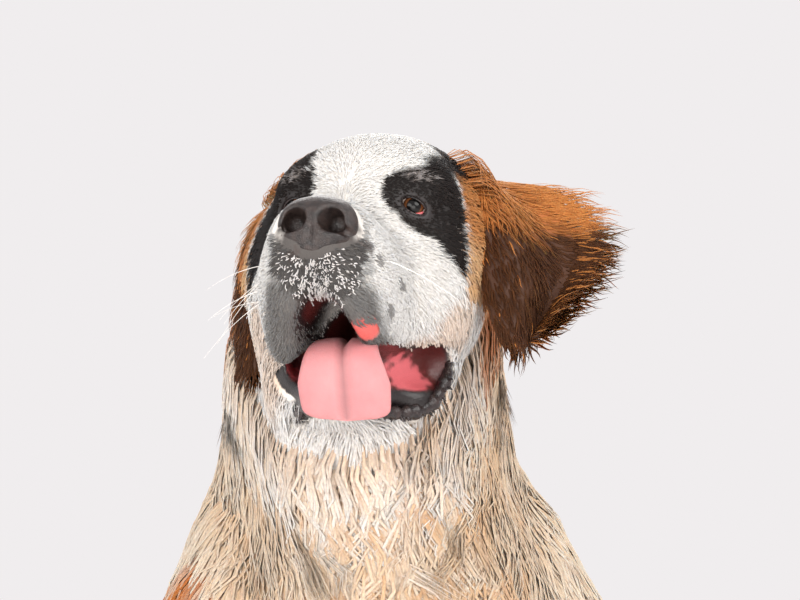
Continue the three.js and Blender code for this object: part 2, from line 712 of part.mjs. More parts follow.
// Neck, with the collar's groove and the ruff.
const downNeck = (p) => {
  const front = Math.max(0, Math.min(1, (60 - p[1]) / 160));
  return unit([0.25 * Math.sign(p[0]) * (1 - front), 0.35 * (1 - front) - 0.12 * front, -1]);
};
const neckBase = meshField(flesh, [-230, -300, 560], [230, 240, 940], 43)
  .intersect(halfSpace(NECK_CUT.at, NECK_CUT.way))
  .intersect(halfSpace(HEAD_CUT.at, mul(HEAD_CUT.way, -1)));
const ruff = ringLocks({
  line: [[0, -20, 672], [-14, -44, 750], [-32, -60, 852]],
  rows: 3,
  around: 8,
  round: [0, -0.28, 0.96],
  keep: () => true,
  lieAt: downNeck,
  size: () => ({
    length: 104 * vary(0.15),
    wide: 102,
    thick: 17,
    lift: 0.24,
    sway: 0.12 * (vary(1) - 1),
  }),
});
const neckSolid = dressed(neckBase, ruff, [
  halfSpace(NECK_CUT.at, NECK_CUT.way),
  halfSpace(HEAD_CUT.at, mul(HEAD_CUT.way, -1)),
]);
// The collar: a band round the base of the neck, sunk in the ruff. Its ring follows the skin.
const COLLAR_STEPS = 30;
function collarRing(inner, outer, half) {
  const up = unit(COLLAR_TILT);
  const u = unit(cross(up, [1, 0, 0]));
  const v = unit(cross(up, u));
  const points = [];
  for (let i = 0; i < COLLAR_STEPS; i++) {
    const angle = (i / COLLAR_STEPS) * 2 * Math.PI;
    const way = add(mul(u, Math.cos(angle)), mul(v, Math.sin(angle)));
    const r = Math.hypot(...sub(skinFrom(COLLAR_AT, way), COLLAR_AT));
    for (const [radius, rise] of [[inner, -half], [outer, -half], [outer, half], [inner, half]])
      points.push(add(COLLAR_AT, add(mul(way, r + radius), mul(up, rise))));
  }
  const faces = [];
  for (let i = 0; i < COLLAR_STEPS; i++)
    for (let c = 0; c < 4; c++) {
      const [a, b] = [i * 4 + c, i * 4 + ((c + 1) % 4)];
      const [d, e] = [a, b].map((n) => (n + 4) % (COLLAR_STEPS * 4));
      faces.push(a, b, d, b, e, d);
    }
  return solidFrom(points, faces);
}
const halfBand = COLLAR_WIDE / 2;
const collar = collarRing(0, COLLAR_THICK, halfBand);
put("collar", collar, "collar");
const collarRoom = collarRing(-GAP, COLLAR_THICK + GAP, halfBand + GAP);
put("neck", largest(neckSolid.subtract(collarRoom)), "white");
put("ear_left", clearOf(earNode("left"), neckSolid), "dark_brown");
put("ear_right", clearOf(earNode("right"), neckSolid), "dark_brown");

// Trunk, with the chest's bib, the back's and flanks' coat and the belly.
const trunkRegion = (solid) => {
  let made = solid.intersect(halfSpace(NECK_CUT.at, mul(NECK_CUT.way, -1)));
  for (const s of [1, -1])
    for (const box of [FORELEG_BOX, HINDLEG_BOX])
      made = made.subtract(sideBox(box, s, -GAP / 2));
  return made.subtract(block(TAIL_BOX.low, TAIL_BOX.high, -GAP / 2));
};
const trunkBase = meshField(flesh, [-260, -200, -40], [260, 580, 780], 56);
const downTrunk = (p) => {
  const front = Math.max(0, Math.min(1, (70 - p[1]) / 150));
  return unit([0, 0.72 * (1 - front) - 0.1 * front, -0.75 - 0.25 * front]);
};
const coat = ringLocks({
  line: [[0, 392, 150], [0, 318, 268], [0, 190, 400], [0, 60, 520], [0, 22, 610]],
  rows: 4,
  around: 9,
  from: [1, 0, 0],
  keep: (p) => p[2] > 60 && p[1] > 10 && !(p[2] < 352 && p[1] < 132),
  lieAt: downTrunk,
  size: () => ({
    length: 124 * vary(0.15),
    wide: 138,
    thick: 19,
    lift: 0.22,
    sway: 0.14 * (vary(1) - 1),
  }),
});
const bib = ringLocks({
  line: [[0, 20, 425], [0, 0, 640]],
  rows: 3,
  around: 11,
  round: [0, 0, 1],
  keep: (p, way) => way[1] < -0.25,
  lieAt: downTrunk,
  size: () => ({
    length: 112 * vary(0.15),
    wide: 84,
    thick: 18,
    lift: 0.2,
    sway: 0.14 * (vary(1) - 1),
  }),
});
put("torso", largest(trunkRegion(dressed(trunkBase, [...coat, ...bib]))), "white");

// Legs and paws.
const CLAW = { length: 20, radius: 5, reach: -27, height: 13 };
function claws(x, y) {
  return TOE_SIDES.map((dx, i) => {
    const g = new THREE.ConeGeometry(CLAW.radius, CLAW.length, 4);
    g.rotateX(Math.PI / 2 + 0.5);
    g.rotateZ(Math.PI);
    g.translate(x + dx, y + TOE_REACH[i] + CLAW.reach, CLAW.height);
    return solidOf(g);
  });
}
const toes = (x, y) =>
  TOE_SIDES.map((dx, i) => {
    const g = new THREE.SphereGeometry(1, 7, 4);
    g.scale(...TOE_RADII);
    g.translate(x + dx, y + TOE_REACH[i], TOE_HEIGHT);
    return solidOf(g);
  });
function pawNode(name, x, y, box, s) {
  const low = [x - 75, y - 95, -30];
  const high = [x + 75, y + 90, 125];
  let made = meshField(flesh, low, high, 25);
  for (const piece of [...toes(x, y), ...claws(x, y)]) made = made.add(piece);
  made = made.intersect(sideBox(box, s, GAP / 2)).intersect(ABOVE_FLOOR);
  put(name, largest(made), "white");
}
for (const s of [1, -1]) {
  const side = s > 0 ? "left" : "right";
  pawNode("forepaw_" + side, s * LEG_SPREAD, FOREPAW_Y, FOREPAW_BOX, s);
  pawNode("hindpaw_" + side, s * HIND_SPREAD, HINDPAW_Y, HINDPAW_BOX, s);

  const foreBase = meshField(flesh, [s * 130 - 110, -160, 20], [s * 130 + 110, 200, 440], 34);
  const feathers = ringLocks({
    line: [[s * 106, 20, 190], [s * 112, 44, 330]],
    rows: 2,
    around: 7,
    from: [1, 0, 0],
    keep: (p, way) => way[1] > 0.35,
    lieAt: () => [0, 0.55, -1],
    size: () => ({ length: 78 * vary(0.2), wide: 42, thick: 12, lift: 0.2, sink: 10 }),
  });
  put(
    "foreleg_" + side,
    dressed(foreBase, feathers, [
      sideBox({ low: FORELEG_BOX.low, high: FORELEG_BOX.high }, s, GAP / 2),
      halfSpace([0, 0, FOREPAW_BOX.high[2]], [0, 0, 1]),
    ]),
    "white",
  );

  const hindBase = meshField(flesh, [s * 210 - 140, 100, -40], [s * 210 + 140, 600, 420], 40);
  const breeches = ringLocks({
    line: [[s * 120, 380, 120], [s * 140, 330, 190], [s * 158, 280, 240]],
    rows: 2,
    around: 6,
    from: [1, 0, 0],
    keep: (p) => s * p[0] > 130 && p[2] > 90,
    lieAt: () => [s * 0.1, 0.55, -0.8],
    size: () => ({ length: 104 * vary(0.2), wide: 96, thick: 16, lift: 0.22, sink: 12 }),
  });
  const hindRegion = sideBox(HINDLEG_BOX, s, GAP / 2).subtract(sideBox(HINDPAW_BOX, s, -GAP / 2));
  put("hindleg_" + side, dressed(hindBase, breeches, [hindRegion]), "orange");
}

// Tail, bushy to its tip, in two nodes parted where it bends.
const TAIL_CUT = { at: TAIL[2], way: unit(sub(TAIL[3], TAIL[1])) };
function alongTail(p) {
  const away = TAIL.map((q) => Math.hypot(...sub(p, q)));
  const nearest = Math.min(away.indexOf(Math.min(...away)), TAIL.length - 2);
  return unit(sub(TAIL[nearest + 1], TAIL[nearest]));
}
const tailBase = meshField(flesh, [-120, 490, -40], [330, 780, 180], 30);
const plume = ringLocks({
  line: TAIL,
  rows: 5,
  around: 4,
  from: [0, 0, 1],
  keep: (p) => p[2] > 10,
  lieAt: (p) => unit(add(alongTail(p), [0, 0, -0.25])),
  size: () => ({ length: 92 * vary(0.2), wide: 46, thick: 14, lift: 0.2, sink: 10 }),
});
for (const [name, side] of [["tail_root", -1], ["tail_tip", 1]]) {
  const region = halfSpace(TAIL_CUT.at, mul(TAIL_CUT.way, side));
  put(name, dressed(tailBase, plume, [block(TAIL_BOX.low, TAIL_BOX.high), region]), "orange");
}

// The part's origin is the middle of its footprint, on the floor.
const box = new THREE.Box3().setFromObject(group);
const middle = box.getCenter(new THREE.Vector3());
group.position.set(-middle.x, -middle.y, -box.min.z);

export default group;
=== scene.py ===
import math

import bpy
import numpy as np
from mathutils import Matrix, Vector
from mathutils.kdtree import KDTree


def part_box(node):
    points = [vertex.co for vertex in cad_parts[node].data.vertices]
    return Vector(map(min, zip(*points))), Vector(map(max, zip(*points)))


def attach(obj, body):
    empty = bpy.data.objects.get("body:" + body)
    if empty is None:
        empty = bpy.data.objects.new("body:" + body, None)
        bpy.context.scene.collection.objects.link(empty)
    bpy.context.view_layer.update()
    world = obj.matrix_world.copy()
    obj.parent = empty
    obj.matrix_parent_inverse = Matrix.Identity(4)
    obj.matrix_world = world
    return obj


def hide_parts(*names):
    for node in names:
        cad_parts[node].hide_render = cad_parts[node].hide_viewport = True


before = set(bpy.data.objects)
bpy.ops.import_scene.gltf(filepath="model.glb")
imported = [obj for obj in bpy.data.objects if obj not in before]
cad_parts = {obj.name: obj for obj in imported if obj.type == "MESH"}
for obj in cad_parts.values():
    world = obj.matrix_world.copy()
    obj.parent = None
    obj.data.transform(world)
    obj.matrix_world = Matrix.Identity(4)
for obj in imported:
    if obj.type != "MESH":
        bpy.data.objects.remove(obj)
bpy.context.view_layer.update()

MM = 0.001
SEED = 20
rng = np.random.default_rng(SEED)


def vec(*v):
    return np.array(v, float)


def unit(v):
    return v / np.maximum(np.linalg.norm(v, axis=-1, keepdims=True), 1e-9)


def smooth(low, high, x):
    t = np.clip((x - low) / (high - low), 0, 1)
    return t * t * (3 - 2 * t)


# Driving dimensions, the same as the solids'.
EYE_HEIGHT = 905
EYE_FORWARD = -175
EYE_SIDE = -58
HEAD_TURN = math.radians(31)
HEAD_RAISE = math.radians(21)
EYE_RADIUS = 12.5
EYE_SPREAD = 47
EYE_DEPTH = -1
LEG_SPREAD = 102
HIND_SPREAD = 196
FOREPAW_Y = -52
HINDPAW_Y = 210

HEAD_AT = vec(EYE_SIDE, EYE_FORWARD, EYE_HEIGHT)
LEFT = vec(math.cos(HEAD_TURN), -math.sin(HEAD_TURN), 0)
FORWARD = vec(
    -math.sin(HEAD_TURN) * math.cos(HEAD_RAISE),
    -math.cos(HEAD_TURN) * math.cos(HEAD_RAISE),
    math.sin(HEAD_RAISE),
)
UP = np.cross(FORWARD, LEFT)
HEAD_AXES = np.array([LEFT, FORWARD, UP])


def from_head(q):
    return HEAD_AT + np.asarray(q, float) @ HEAD_AXES


def into_head(p):
    return (p - HEAD_AT) @ HEAD_AXES.T


def head_way(v):
    return np.asarray(v, float) @ HEAD_AXES


def eye_centre(s):
    return from_head([s * EYE_SPREAD, EYE_DEPTH, 0])


def box_centre(node):
    low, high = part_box(node)
    return (np.array(low) + np.array(high)) / 2 / MM


SHIFT = box_centre("eye_left") - eye_centre(1)


# Field forms: a limb tapers from one radius to another, an egg is an ellipsoid.
def limb(a, b, ra, rb, narrow=1.0):
    scale = vec(1 / narrow, 1, 1)
    start = np.asarray(a, float)
    axis = (np.asarray(b, float) - start) * scale
    length2 = axis @ axis

    def field(p):
        d = (p - start) * scale
        t = np.clip(d @ axis / length2, 0, 1)
        return np.linalg.norm(d - t[:, None] * axis, axis=1) - (ra + (rb - ra) * t)

    return field


def egg(c, r):
    centre = np.asarray(c, float)
    radii = np.asarray(r, float)

    def field(p):
        q = (p - centre) / radii
        k = np.linalg.norm(q, axis=1)
        g = np.linalg.norm(q / radii, axis=1)
        return k * (k - 1) / np.maximum(g, 1e-6)

    return field


def smooth_min(a, b, k):
    h = np.maximum(0, k - np.abs(a - b)) / k
    return np.minimum(a, b) - h * h * k * 0.25


def carve(d, cut, k):
    return -smooth_min(-d, cut, k)


def blend(forms, k):
    def field(p):
        d = forms[0](p)
        for form in forms[1:]:
            d = smooth_min(d, form(p), k)
        return d

    return field


def pair(make):
    return [make(1), make(-1)]


# The trunk, neck and legs.
RUMP = (0, 400, 118)
LOIN = (0, 318, 268)
RIBS = (0, 190, 405)
BREAST = (0, 35, 505)
WITHERS = (0, 120, 618)
NAPE = (-32, -62, 838)
TRUNK_NARROW = 0.9
TRUNK = [
    limb(RUMP, LOIN, 124, 148, TRUNK_NARROW),
    limb(LOIN, RIBS, 148, 170, TRUNK_NARROW),
    limb(RIBS, BREAST, 170, 168, TRUNK_NARROW),
    limb(WITHERS, (0, 300, 440), 92, 118),
    egg((0, -62, 545), (118, 92, 128)),
]
NECK = [
    limb((0, 62, 622), NAPE, 138, 100),
    limb((-4, -62, 596), (-50, -128, 776), 104, 72),
]


def shoulder(s):
    return egg((s * 112, 22, 540), (66, 92, 132))


def foreleg(s):
    wrist = (s * (LEG_SPREAD + 2), 2, 140)
    return [
        limb((s * 120, -8, 528), (s * 118, 58, 400), 76, 64),
        limb((s * 116, 50, 400), wrist, 62, 44),
        limb(wrist, (s * LEG_SPREAD, -24, 52), 45, 46),
    ]


def hindleg(s):
    return [
        limb((s * 112, 392, 190), (s * 172, 250, 238), 122, 86),
        limb((s * 176, 250, 222), (s * 172, 412, 66), 74, 40),
        limb((s * 172, 420, 42), (s * (HIND_SPREAD - 4), 240, 40), 38, 37),
    ]


TAIL = [(0, 498, 84), (26, 590, 52), (92, 668, 40), (178, 702, 36), (262, 690, 30)]
TAIL_RADII = [52, 42, 36, 31, 20]
TAIL_FORMS = [limb(TAIL[i], TAIL[i + 1], TAIL_RADII[i], TAIL_RADII[i + 1]) for i in range(4)]

# A paw is a low pad with four toes in front.
TOE_SIDES = (-37, -13, 13, 37)
TOE_REACH = (-32, -48, -48, -32)
TOE_HEIGHT = 22
TOE_RADII = (15, 31, 24)
PAWS = [
    (s * spread, y) for spread, y in ((LEG_SPREAD, FOREPAW_Y), (HIND_SPREAD, HINDPAW_Y)) for s in (1, -1)
]


def toe_centres(x, y):
    return [(x + dx, y + reach, TOE_HEIGHT) for dx, reach in zip(TOE_SIDES, TOE_REACH)]


def paw(x, y):
    return [egg((x, y, 32), (50, 56, 36))] + [egg(c, TOE_RADII) for c in toe_centres(x, y)]


# The head, in its own frame.
SKULL = [
    egg((0, -72, 4), (86, 98, 80)),
    egg((0, -22, 14), (60, 44, 42)),
    *pair(lambda s: egg((s * 40, -14, 16), (28, 26, 20))),
    *pair(lambda s: egg((s * 60, -58, -42), (30, 60, 54))),
]
MUZZLE = [
    limb((0, -6, -42), (0, 74, -54), 36, 30),
    *pair(lambda s: egg((s * 21, 52, -72), (24, 40, 45))),
    *pair(lambda s: egg((s * 35, 8, -86), (18, 60, 44))),
    egg((-33, 12, -106), (13, 34, 34)),
]
JAW_JOINT = (0, -78, -66)
CHIN = (0, -14, -160)
LOWER_JAW = [
    limb(JAW_JOINT, CHIN, 44, 19),
    *pair(lambda s: limb((s * 42, -84, -98), (s * 20, -16, -160), 21, 13)),
    *pair(lambda s: limb((s * 52, -62, -106), (s * 48, -58, -142), 14, 11)),
]
MOUTH_FRONT = limb((0, -50, -98), (9, 110, -172), 20, 62, 0.52)
# The lips gape at each corner, where the inner cheek shows.
MOUTH_CORNERS = [
    limb((63, -62, -112), (38, 6, -140), 13, 17),
    limb((-46, -50, -112), (-26, 4, -138), 8, 12),
]
MOUTH = blend([MOUTH_FRONT, *MOUTH_CORNERS], 8)
skull_and_muzzle = blend(SKULL + MUZZLE, 24)
jaw_form = blend(LOWER_JAW, 16)
body_form = blend(
    TRUNK + NECK + pair(shoulder) + foreleg(1) + foreleg(-1) + hindleg(1) + hindleg(-1) + TAIL_FORMS, 38
)
paw_form = blend([form for x, y in PAWS for form in paw(x, y)], 7)
HEAD_REACH = 330
FACE_REACH = 260
PAW_TOP = 130


def head_form(q):
    return smooth_min(skull_and_muzzle(q), jaw_form(q), 10)


def flesh(p):
    d = body_form(p)
    low = p[:, 2] < PAW_TOP
    if low.any():
        d[low] = smooth_min(d[low], paw_form(p[low]), 12)
    q = into_head(p)
    near = np.linalg.norm(q, axis=1) < HEAD_REACH
    if near.any():
        h = q[near]
        d[near] = carve(smooth_min(d[near], head_form(h), 34), MOUTH(h), 8)
    return d


# The nose pad, with comma-shaped nostrils and a groove down its middle.
NOSE = (4, 87, -51)


def near_nose(x, y, z):
    return (NOSE[0] + x, NOSE[1] + y, NOSE[2] + z)


NOSE_PAD = blend(
    [
        egg(NOSE, (29, 17, 24)),
        *pair(lambda s: egg(near_nose(s * 16, -2, -1), (14, 16, 18))),
        egg(near_nose(0, -2, -15), (15, 12, 12)),
    ],
    10,
)
NOSTRILS = [
    form
    for s in (1, -1)
    for form in (
        limb(near_nose(s * 14, 19, 0), near_nose(s * 17, 2, 0), 10.4, 8),
        limb(near_nose(s * 18, 14, -5), near_nose(s * 31, 2, -10), 4.4, 2.4),
    )
]
NOSE_GROOVE = limb(near_nose(0, 20, 6), near_nose(0, 13, -30), 2.4, 3.0)


def nose_form(q):
    d = NOSE_PAD(q)
    for nostril in NOSTRILS:
        d = carve(d, nostril(q), 4)
    return carve(d, NOSE_GROOVE(q), 3)


# The lids swell round each eye, and an almond between them lets the ball show.
LID_RADIUS = EYE_RADIUS + 4.5
LID_LONG = 10.8
LID_HIGH = 6.0
LID_SLANT = math.radians(22)


def eye_axes(s):
    gaze = unit(vec(s * 0.42, 1, -0.32))
    across = unit(np.cross(gaze, vec(0, 0, 1)))
    up = np.cross(across, gaze)
    tilt = -s * LID_SLANT
    turned = across * math.cos(tilt) + up * math.sin(tilt)
    return gaze, turned, np.cross(turned, gaze)


EYE_FRAMES = {s: eye_axes(s) for s in (1, -1)}


def from_eye(q, s):
    return q - vec(s * EYE_SPREAD, EYE_DEPTH, 0)


def almond_at(n, s):
    """How far outside the lids' opening a point is, where n starts at the eye's centre."""
    gaze, across, up = EYE_FRAMES[s]
    almond = (np.hypot((n @ across) / LID_LONG, (n @ up) / LID_HIGH) - 1) * LID_HIGH
    return np.maximum(almond, -(n @ gaze))


def with_lids(d, q):
    for s in (1, -1):
        r = from_eye(q, s)
        near = np.linalg.norm(r, axis=1) < 60
        if not near.any():
            continue
        n = r[near]
        lid = smooth_min(d[near], np.linalg.norm(n, axis=1) - LID_RADIUS, 7)
        lid = carve(lid, almond_at(n, s), 2.5)
        d[near] = np.maximum(lid, EYE_RADIUS + 0.6 - np.linalg.norm(n, axis=1))
    return d


# The skin lies under the coat: close on the face and feet, deeper on the body.
FACE_DEPTH = 2.2
BODY_DEPTH = 9.0


def skin(p):
    q = into_head(p)
    away = np.linalg.norm(q, axis=1)
    depth = FACE_DEPTH + (BODY_DEPTH - FACE_DEPTH) * smooth(150, 300, away) * smooth(80, 240, p[:, 2])
    d = flesh(p) + depth
    near = away < HEAD_REACH
    if near.any():
        h = q[near]
        d[near] = carve(with_lids(d[near], h), NOSE_PAD(h) + 3.0, 3)
    return d


def gradient(field, p, h=1.5):
    made = np.empty_like(p)
    for axis in range(3):
        step = np.zeros(3)
        step[axis] = h
        made[:, axis] = field(p + step) - field(p - step)
    return unit(made)


# A field is worked out near its surface only, found on a grid COARSE times wider.
COARSE = 5


def grid_values(field, low, count, step):
    wide = [c // COARSE + 2 for c in count]
    axes = [low[a] + np.arange(wide[a]) * step * COARSE for a in range(3)]
    points = np.stack(np.meshgrid(*axes, indexing="ij"), -1).reshape(-1, 3)
    rough = field(points).reshape(wide)
    near = np.abs(rough) < step * COARSE * 2.2
    band = np.zeros([w - 1 for w in wide], bool)
    for i in (0, 1):
        for j in (0, 1):
            for k in (0, 1):
                ends = [slice(o, o + n) for o, n in zip((i, j, k), band.shape)]
                band |= near[tuple(ends)]
    fine = rough[:-1, :-1, :-1]
    for axis in range(3):
        fine = np.repeat(fine, COARSE, axis)
        band = np.repeat(band, COARSE, axis)
    window = tuple(slice(0, c) for c in count)
    values = fine[window].copy()
    todo = np.argwhere(band[window])
    values[tuple(todo.T)] = field(low + todo * step)
    return values


# One vertex to each grid cell that the surface crosses, one quad to each grid edge it crosses.
def mesh_field(field, low, high, step, turn=None):
    low = np.asarray(low, float)
    count = [int(math.ceil((h - l) / step)) + 1 for l, h in zip(low, high)]
    values = grid_values(field, low, count, step)
    for axis in range(3):
        for end in (0, -1):
            edge = [slice(None)] * 3
            edge[axis] = end
            values[tuple(edge)] = np.maximum(values[tuple(edge)], step * 0.05)
    inside = values <= 0
    rings = []
    crossings = []
    for axis in range(3):
        first = [slice(None)] * 3
        second = [slice(None)] * 3
        first[axis] = slice(None, -1)
        second[axis] = slice(1, None)
        at = np.argwhere(inside[tuple(first)] != inside[tuple(second)])
        beyond = at.copy()
        beyond[:, axis] += 1
        v0 = values[tuple(at.T)]
        v1 = values[tuple(beyond.T)]
        point = at.astype(float)
        point[:, axis] += v0 / (v0 - v1)
        u = (axis + 1) % 3
        w = (axis + 2) % 3
        ring = []
        for du, dw in ((0, 0), (-1, 0), (-1, -1), (0, -1)):
            cell = at.copy()
            cell[:, u] += du
            cell[:, w] += dw
            ring.append((cell[:, 0] * count[1] + cell[:, 1]) * count[2] + cell[:, 2])
        ring = np.stack(ring, 1)
        outward = v0 <= 0
        ring[~outward] = ring[~outward][:, ::-1]
        rings.append(ring)
        crossings.append(np.repeat(point, 4, axis=0))
    quads = np.concatenate(rings)
    unflipped = np.concatenate(crossings)
    cells, index = np.unique(quads.reshape(-1), return_inverse=True)
    index = index.reshape(-1)
    total = np.bincount(index, minlength=len(cells))
    points = np.stack([np.bincount(index, unflipped[:, a], len(cells)) / total for a in range(3)], 1)
    points = low + points * step
    points -= gradient(field, points) * np.clip(field(points), -step, step)[:, None]
    if turn is not None:
        points = turn(points)
    return points, index.reshape(-1, 4)


def clipped(points, quads, keep):
    quads = quads[keep(points[quads].mean(1))]
    used, index = np.unique(quads, return_inverse=True)
    return points[used], index.reshape(-1, 4)


# Meshes from arrays. Coat colours go in as a colour attribute on the points.
FLOOR_CLEAR = 0.6


def mesh_object(name, points, faces, colours=None, uv=None, wet=None):
    faces = np.asarray(faces)
    points = points + SHIFT
    points[:, 2] = np.maximum(points[:, 2], FLOOR_CLEAR)
    sides = faces.shape[1]
    mesh = bpy.data.meshes.new(name)
    mesh.vertices.add(len(points))
    mesh.vertices.foreach_set("co", (points * MM).astype(np.float32).reshape(-1))
    mesh.loops.add(faces.size)
    mesh.loops.foreach_set("vertex_index", faces.reshape(-1).astype(np.int32))
    mesh.polygons.add(len(faces))
    mesh.polygons.foreach_set("loop_start", np.arange(0, faces.size, sides, dtype=np.int32))
    mesh.polygons.foreach_set("loop_total", np.full(len(faces), sides, dtype=np.int32))
    mesh.polygons.foreach_set("use_smooth", np.ones(len(faces), bool))
    if colours is not None:
        attribute = mesh.color_attributes.new("Coat", "FLOAT_COLOR", "POINT")
        rgba = np.ones((len(points), 4), np.float32)
        rgba[:, :3] = colours
        attribute.data.foreach_set("color", rgba.reshape(-1))
    if wet is not None:
        attribute = mesh.attributes.new("Wet", "FLOAT", "POINT")
        attribute.data.foreach_set("value", wet.astype(np.float32))
    if uv is not None:
        layer = mesh.uv_layers.new(name="OFBake")
        layer.data.foreach_set("uv", uv[faces.reshape(-1)].astype(np.float32).reshape(-1))
    mesh.update()
    mesh.validate()
    made = bpy.data.objects.new(name, mesh)
    bpy.context.scene.collection.objects.link(made)
    return made


def finish_piece(piece, material, replaces=()):
    piece.data.materials.append(material)
    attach(piece, "root")
    if replaces:
        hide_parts(*replaces)
    return piece


# Colours, linear.
def srgb(r, g, b):
    c = np.array([r, g, b]) / 255
    return np.where(c <= 0.04045, c / 12.92, ((c + 0.055) / 1.055) ** 2.4)


WHITE = srgb(250, 244, 236)
CREAM = srgb(240, 219, 192)
TAN = srgb(222, 170, 122)
ORANGE = srgb(206, 124, 62)
RUST = srgb(150, 78, 34)
BAND_ORANGE = srgb(188, 118, 66)
DARK_BROWN = srgb(38, 20, 10)
BLACK = srgb(24, 18, 16)
LIP_BLACK = srgb(30, 24, 24)
MOUTH_RED = srgb(84, 34, 32)
TONGUE_PINK = srgb(206, 138, 139)
CHEEK_PINK = srgb(204, 98, 104)
LIP_PINK = srgb(214, 98, 92)
BROW_GREY = srgb(168, 156, 150)
MUZZLE_DARK = srgb(38, 30, 28)
SPOT_BROWN = srgb(70, 58, 54)
CREST_ORANGE = srgb(190, 112, 58)
SPECKLE_WHITE = srgb(236, 228, 222)


def noise(p, size, seed=0):
    """Smooth wander between -1 and 1, with waves of about size."""
    total = np.zeros(len(p))
    mixer = np.random.default_rng(100 + seed)
    for octave in range(4):
        for _ in range(3):
            way = unit(mixer.normal(size=3)) * (2 * math.pi / size) * (1.6**octave)
            total += np.sin(p @ way + mixer.uniform(0, 6.3)) / (1.5**octave)
    return total / 4.2


def patch(q, centre, radii):
    """1 in the middle of an ellipsoid, 0 at its edge, below 0 beyond."""
    return 1 - np.linalg.norm((q - np.asarray(centre, float)) / np.asarray(radii, float), axis=1)


def lay(colours, paint, weight):
    w = np.clip(weight, 0, 1)[:, None]
    return colours * (1 - w) + paint * w


NECK_TOP = (from_head([0, -118, -70]), unit(head_way([0, 0.8, 0.42])))


def in_head(p):
    """Millimetres ahead of the cut between the head and the neck."""
    return (p - NECK_TOP[0]) @ NECK_TOP[1]


def mirrored(q):
    """The same points with both sides of the head folded onto its left."""
    return np.stack([np.abs(q[:, 0]), q[:, 1], q[:, 2]], 1)


def body_markings(p, rough, head):
    """An orange saddle, flanks, thighs and tail, with a white chest, belly, legs and tail tip; the ruff is
    cream, and tan down the middle of the chest is painted shade.
    """
    x, y, z = p.T
    withers = 1 - smooth(0, 50, z - 650 - 0.25 * y + 90 * rough)
    back = smooth(52, 84, y + 120 * rough) * withers
    low = smooth(120, 170, z + 120 * rough + 0.1 * y)
    belly = (1 - smooth(86, 110, np.abs(x) + 60 * rough)) * (1 - smooth(150, 260, y))
    tail = smooth(470, 500, y) * (1 - smooth(196, 214, x + 60 * rough))
    body = np.maximum(back * np.maximum(low, smooth(330, 420, y)) * (1 - belly), tail)
    foot = (1 - smooth(70, 100, z + 60 * rough)) * (1 - smooth(380, 440, y))
    right = smooth(-126, -142, x + 60 * rough) * (1 - smooth(610, 650, z + 60 * rough)) * low
    body = np.maximum(body * (1 - foot), right * (z > 330))
    ruff = smooth(90, 30, y) * smooth(420, 470, z) * (1 - head) * (1 - right)
    colours = lay(np.tile(WHITE, (len(p), 1)), CREAM, ruff * 0.8)
    # Painted shade: the middle of the chest is laid tan, the colour the white ruff takes where it lies in
    # shade.
    middle = smooth(150, 60, np.abs(x + 10)) * ruff
    colours = lay(colours, TAN, middle * (0.25 + 0.4 * smooth(0.2, 0.8, 0.5 + noise(p, 70, 4))))
    shade = smooth(0.1, 0.9, 0.5 + noise(p, 120, 3))
    colours = lay(colours, ORANGE, body)
    return lay(colours, RUST, body * shade * 0.6)


def skull_markings(colours, p, wander, rough, head):
    """A white blaze between dark brows, a black mask, a tan band and orange behind it."""
    q = into_head(p)
    near_side = q[:, 0] > 0
    fold = mirrored(q)
    x, y, z = fold.T
    near_blaze = 26 + 22 * smooth(16, 30, z) - 22 * smooth(52, 80, z)
    far_blaze = 28 + 0.16 * np.maximum(0, z - 10) + 0.6 * np.maximum(0, z - 43)
    blaze = np.where(near_side, near_blaze, far_blaze) - 0.3 * np.maximum(0, -100 - y)
    side = smooth(0, 7, x - blaze + 26 * rough)
    behind = y + np.where(near_side, 22, 42) - 0.12 * z
    sides = side * smooth(0, 9, -behind + 14 * rough) * smooth(-58, -46, z + 26 * rough)
    crown = smooth(-118, -146, y + 30 * rough) * smooth(-60, -20, z)
    colours = lay(colours, ORANGE, head * np.maximum(sides, crown))
    colours = lay(colours, RUST, head * sides * smooth(0.2, 0.9, 0.5 + wander * 4) * 0.5)
    band = np.minimum.reduce([-behind, y + 60, z + 56, 44 - z]) + 16 * rough
    warm = lay(np.tile(BAND_ORANGE, (len(p), 1)), TAN, smooth(0, -30, z))
    colours = lay(colours, warm, head * side * smooth(-2, 5, band) * 0.9)
    edge = np.minimum.reduce([x - 23, z + 7 + 0.74 * (x - 28), behind])
    mask_top = np.where(near_side, 15, 22)
    mask = smooth(-1.5, 5, edge + 20 * rough) * np.where(z > mask_top, side, 1)
    colours = lay(colours, BLACK, head * mask)
    brow = patch(fold, (45, 8, 22), (20, 18, 9)) * 4 * smooth(-0.2, 0.5, noise(p, 6, 21))
    colours = lay(colours, BROW_GREY, head * mask * np.clip(brow, 0, 1) * 0.7)
    wedge = np.minimum.reduce([x - blaze, blaze + 20 - x, y + 84, z - 24]) + 14 * rough
    return lay(colours, BLACK, head * smooth(-3, 4, wedge))


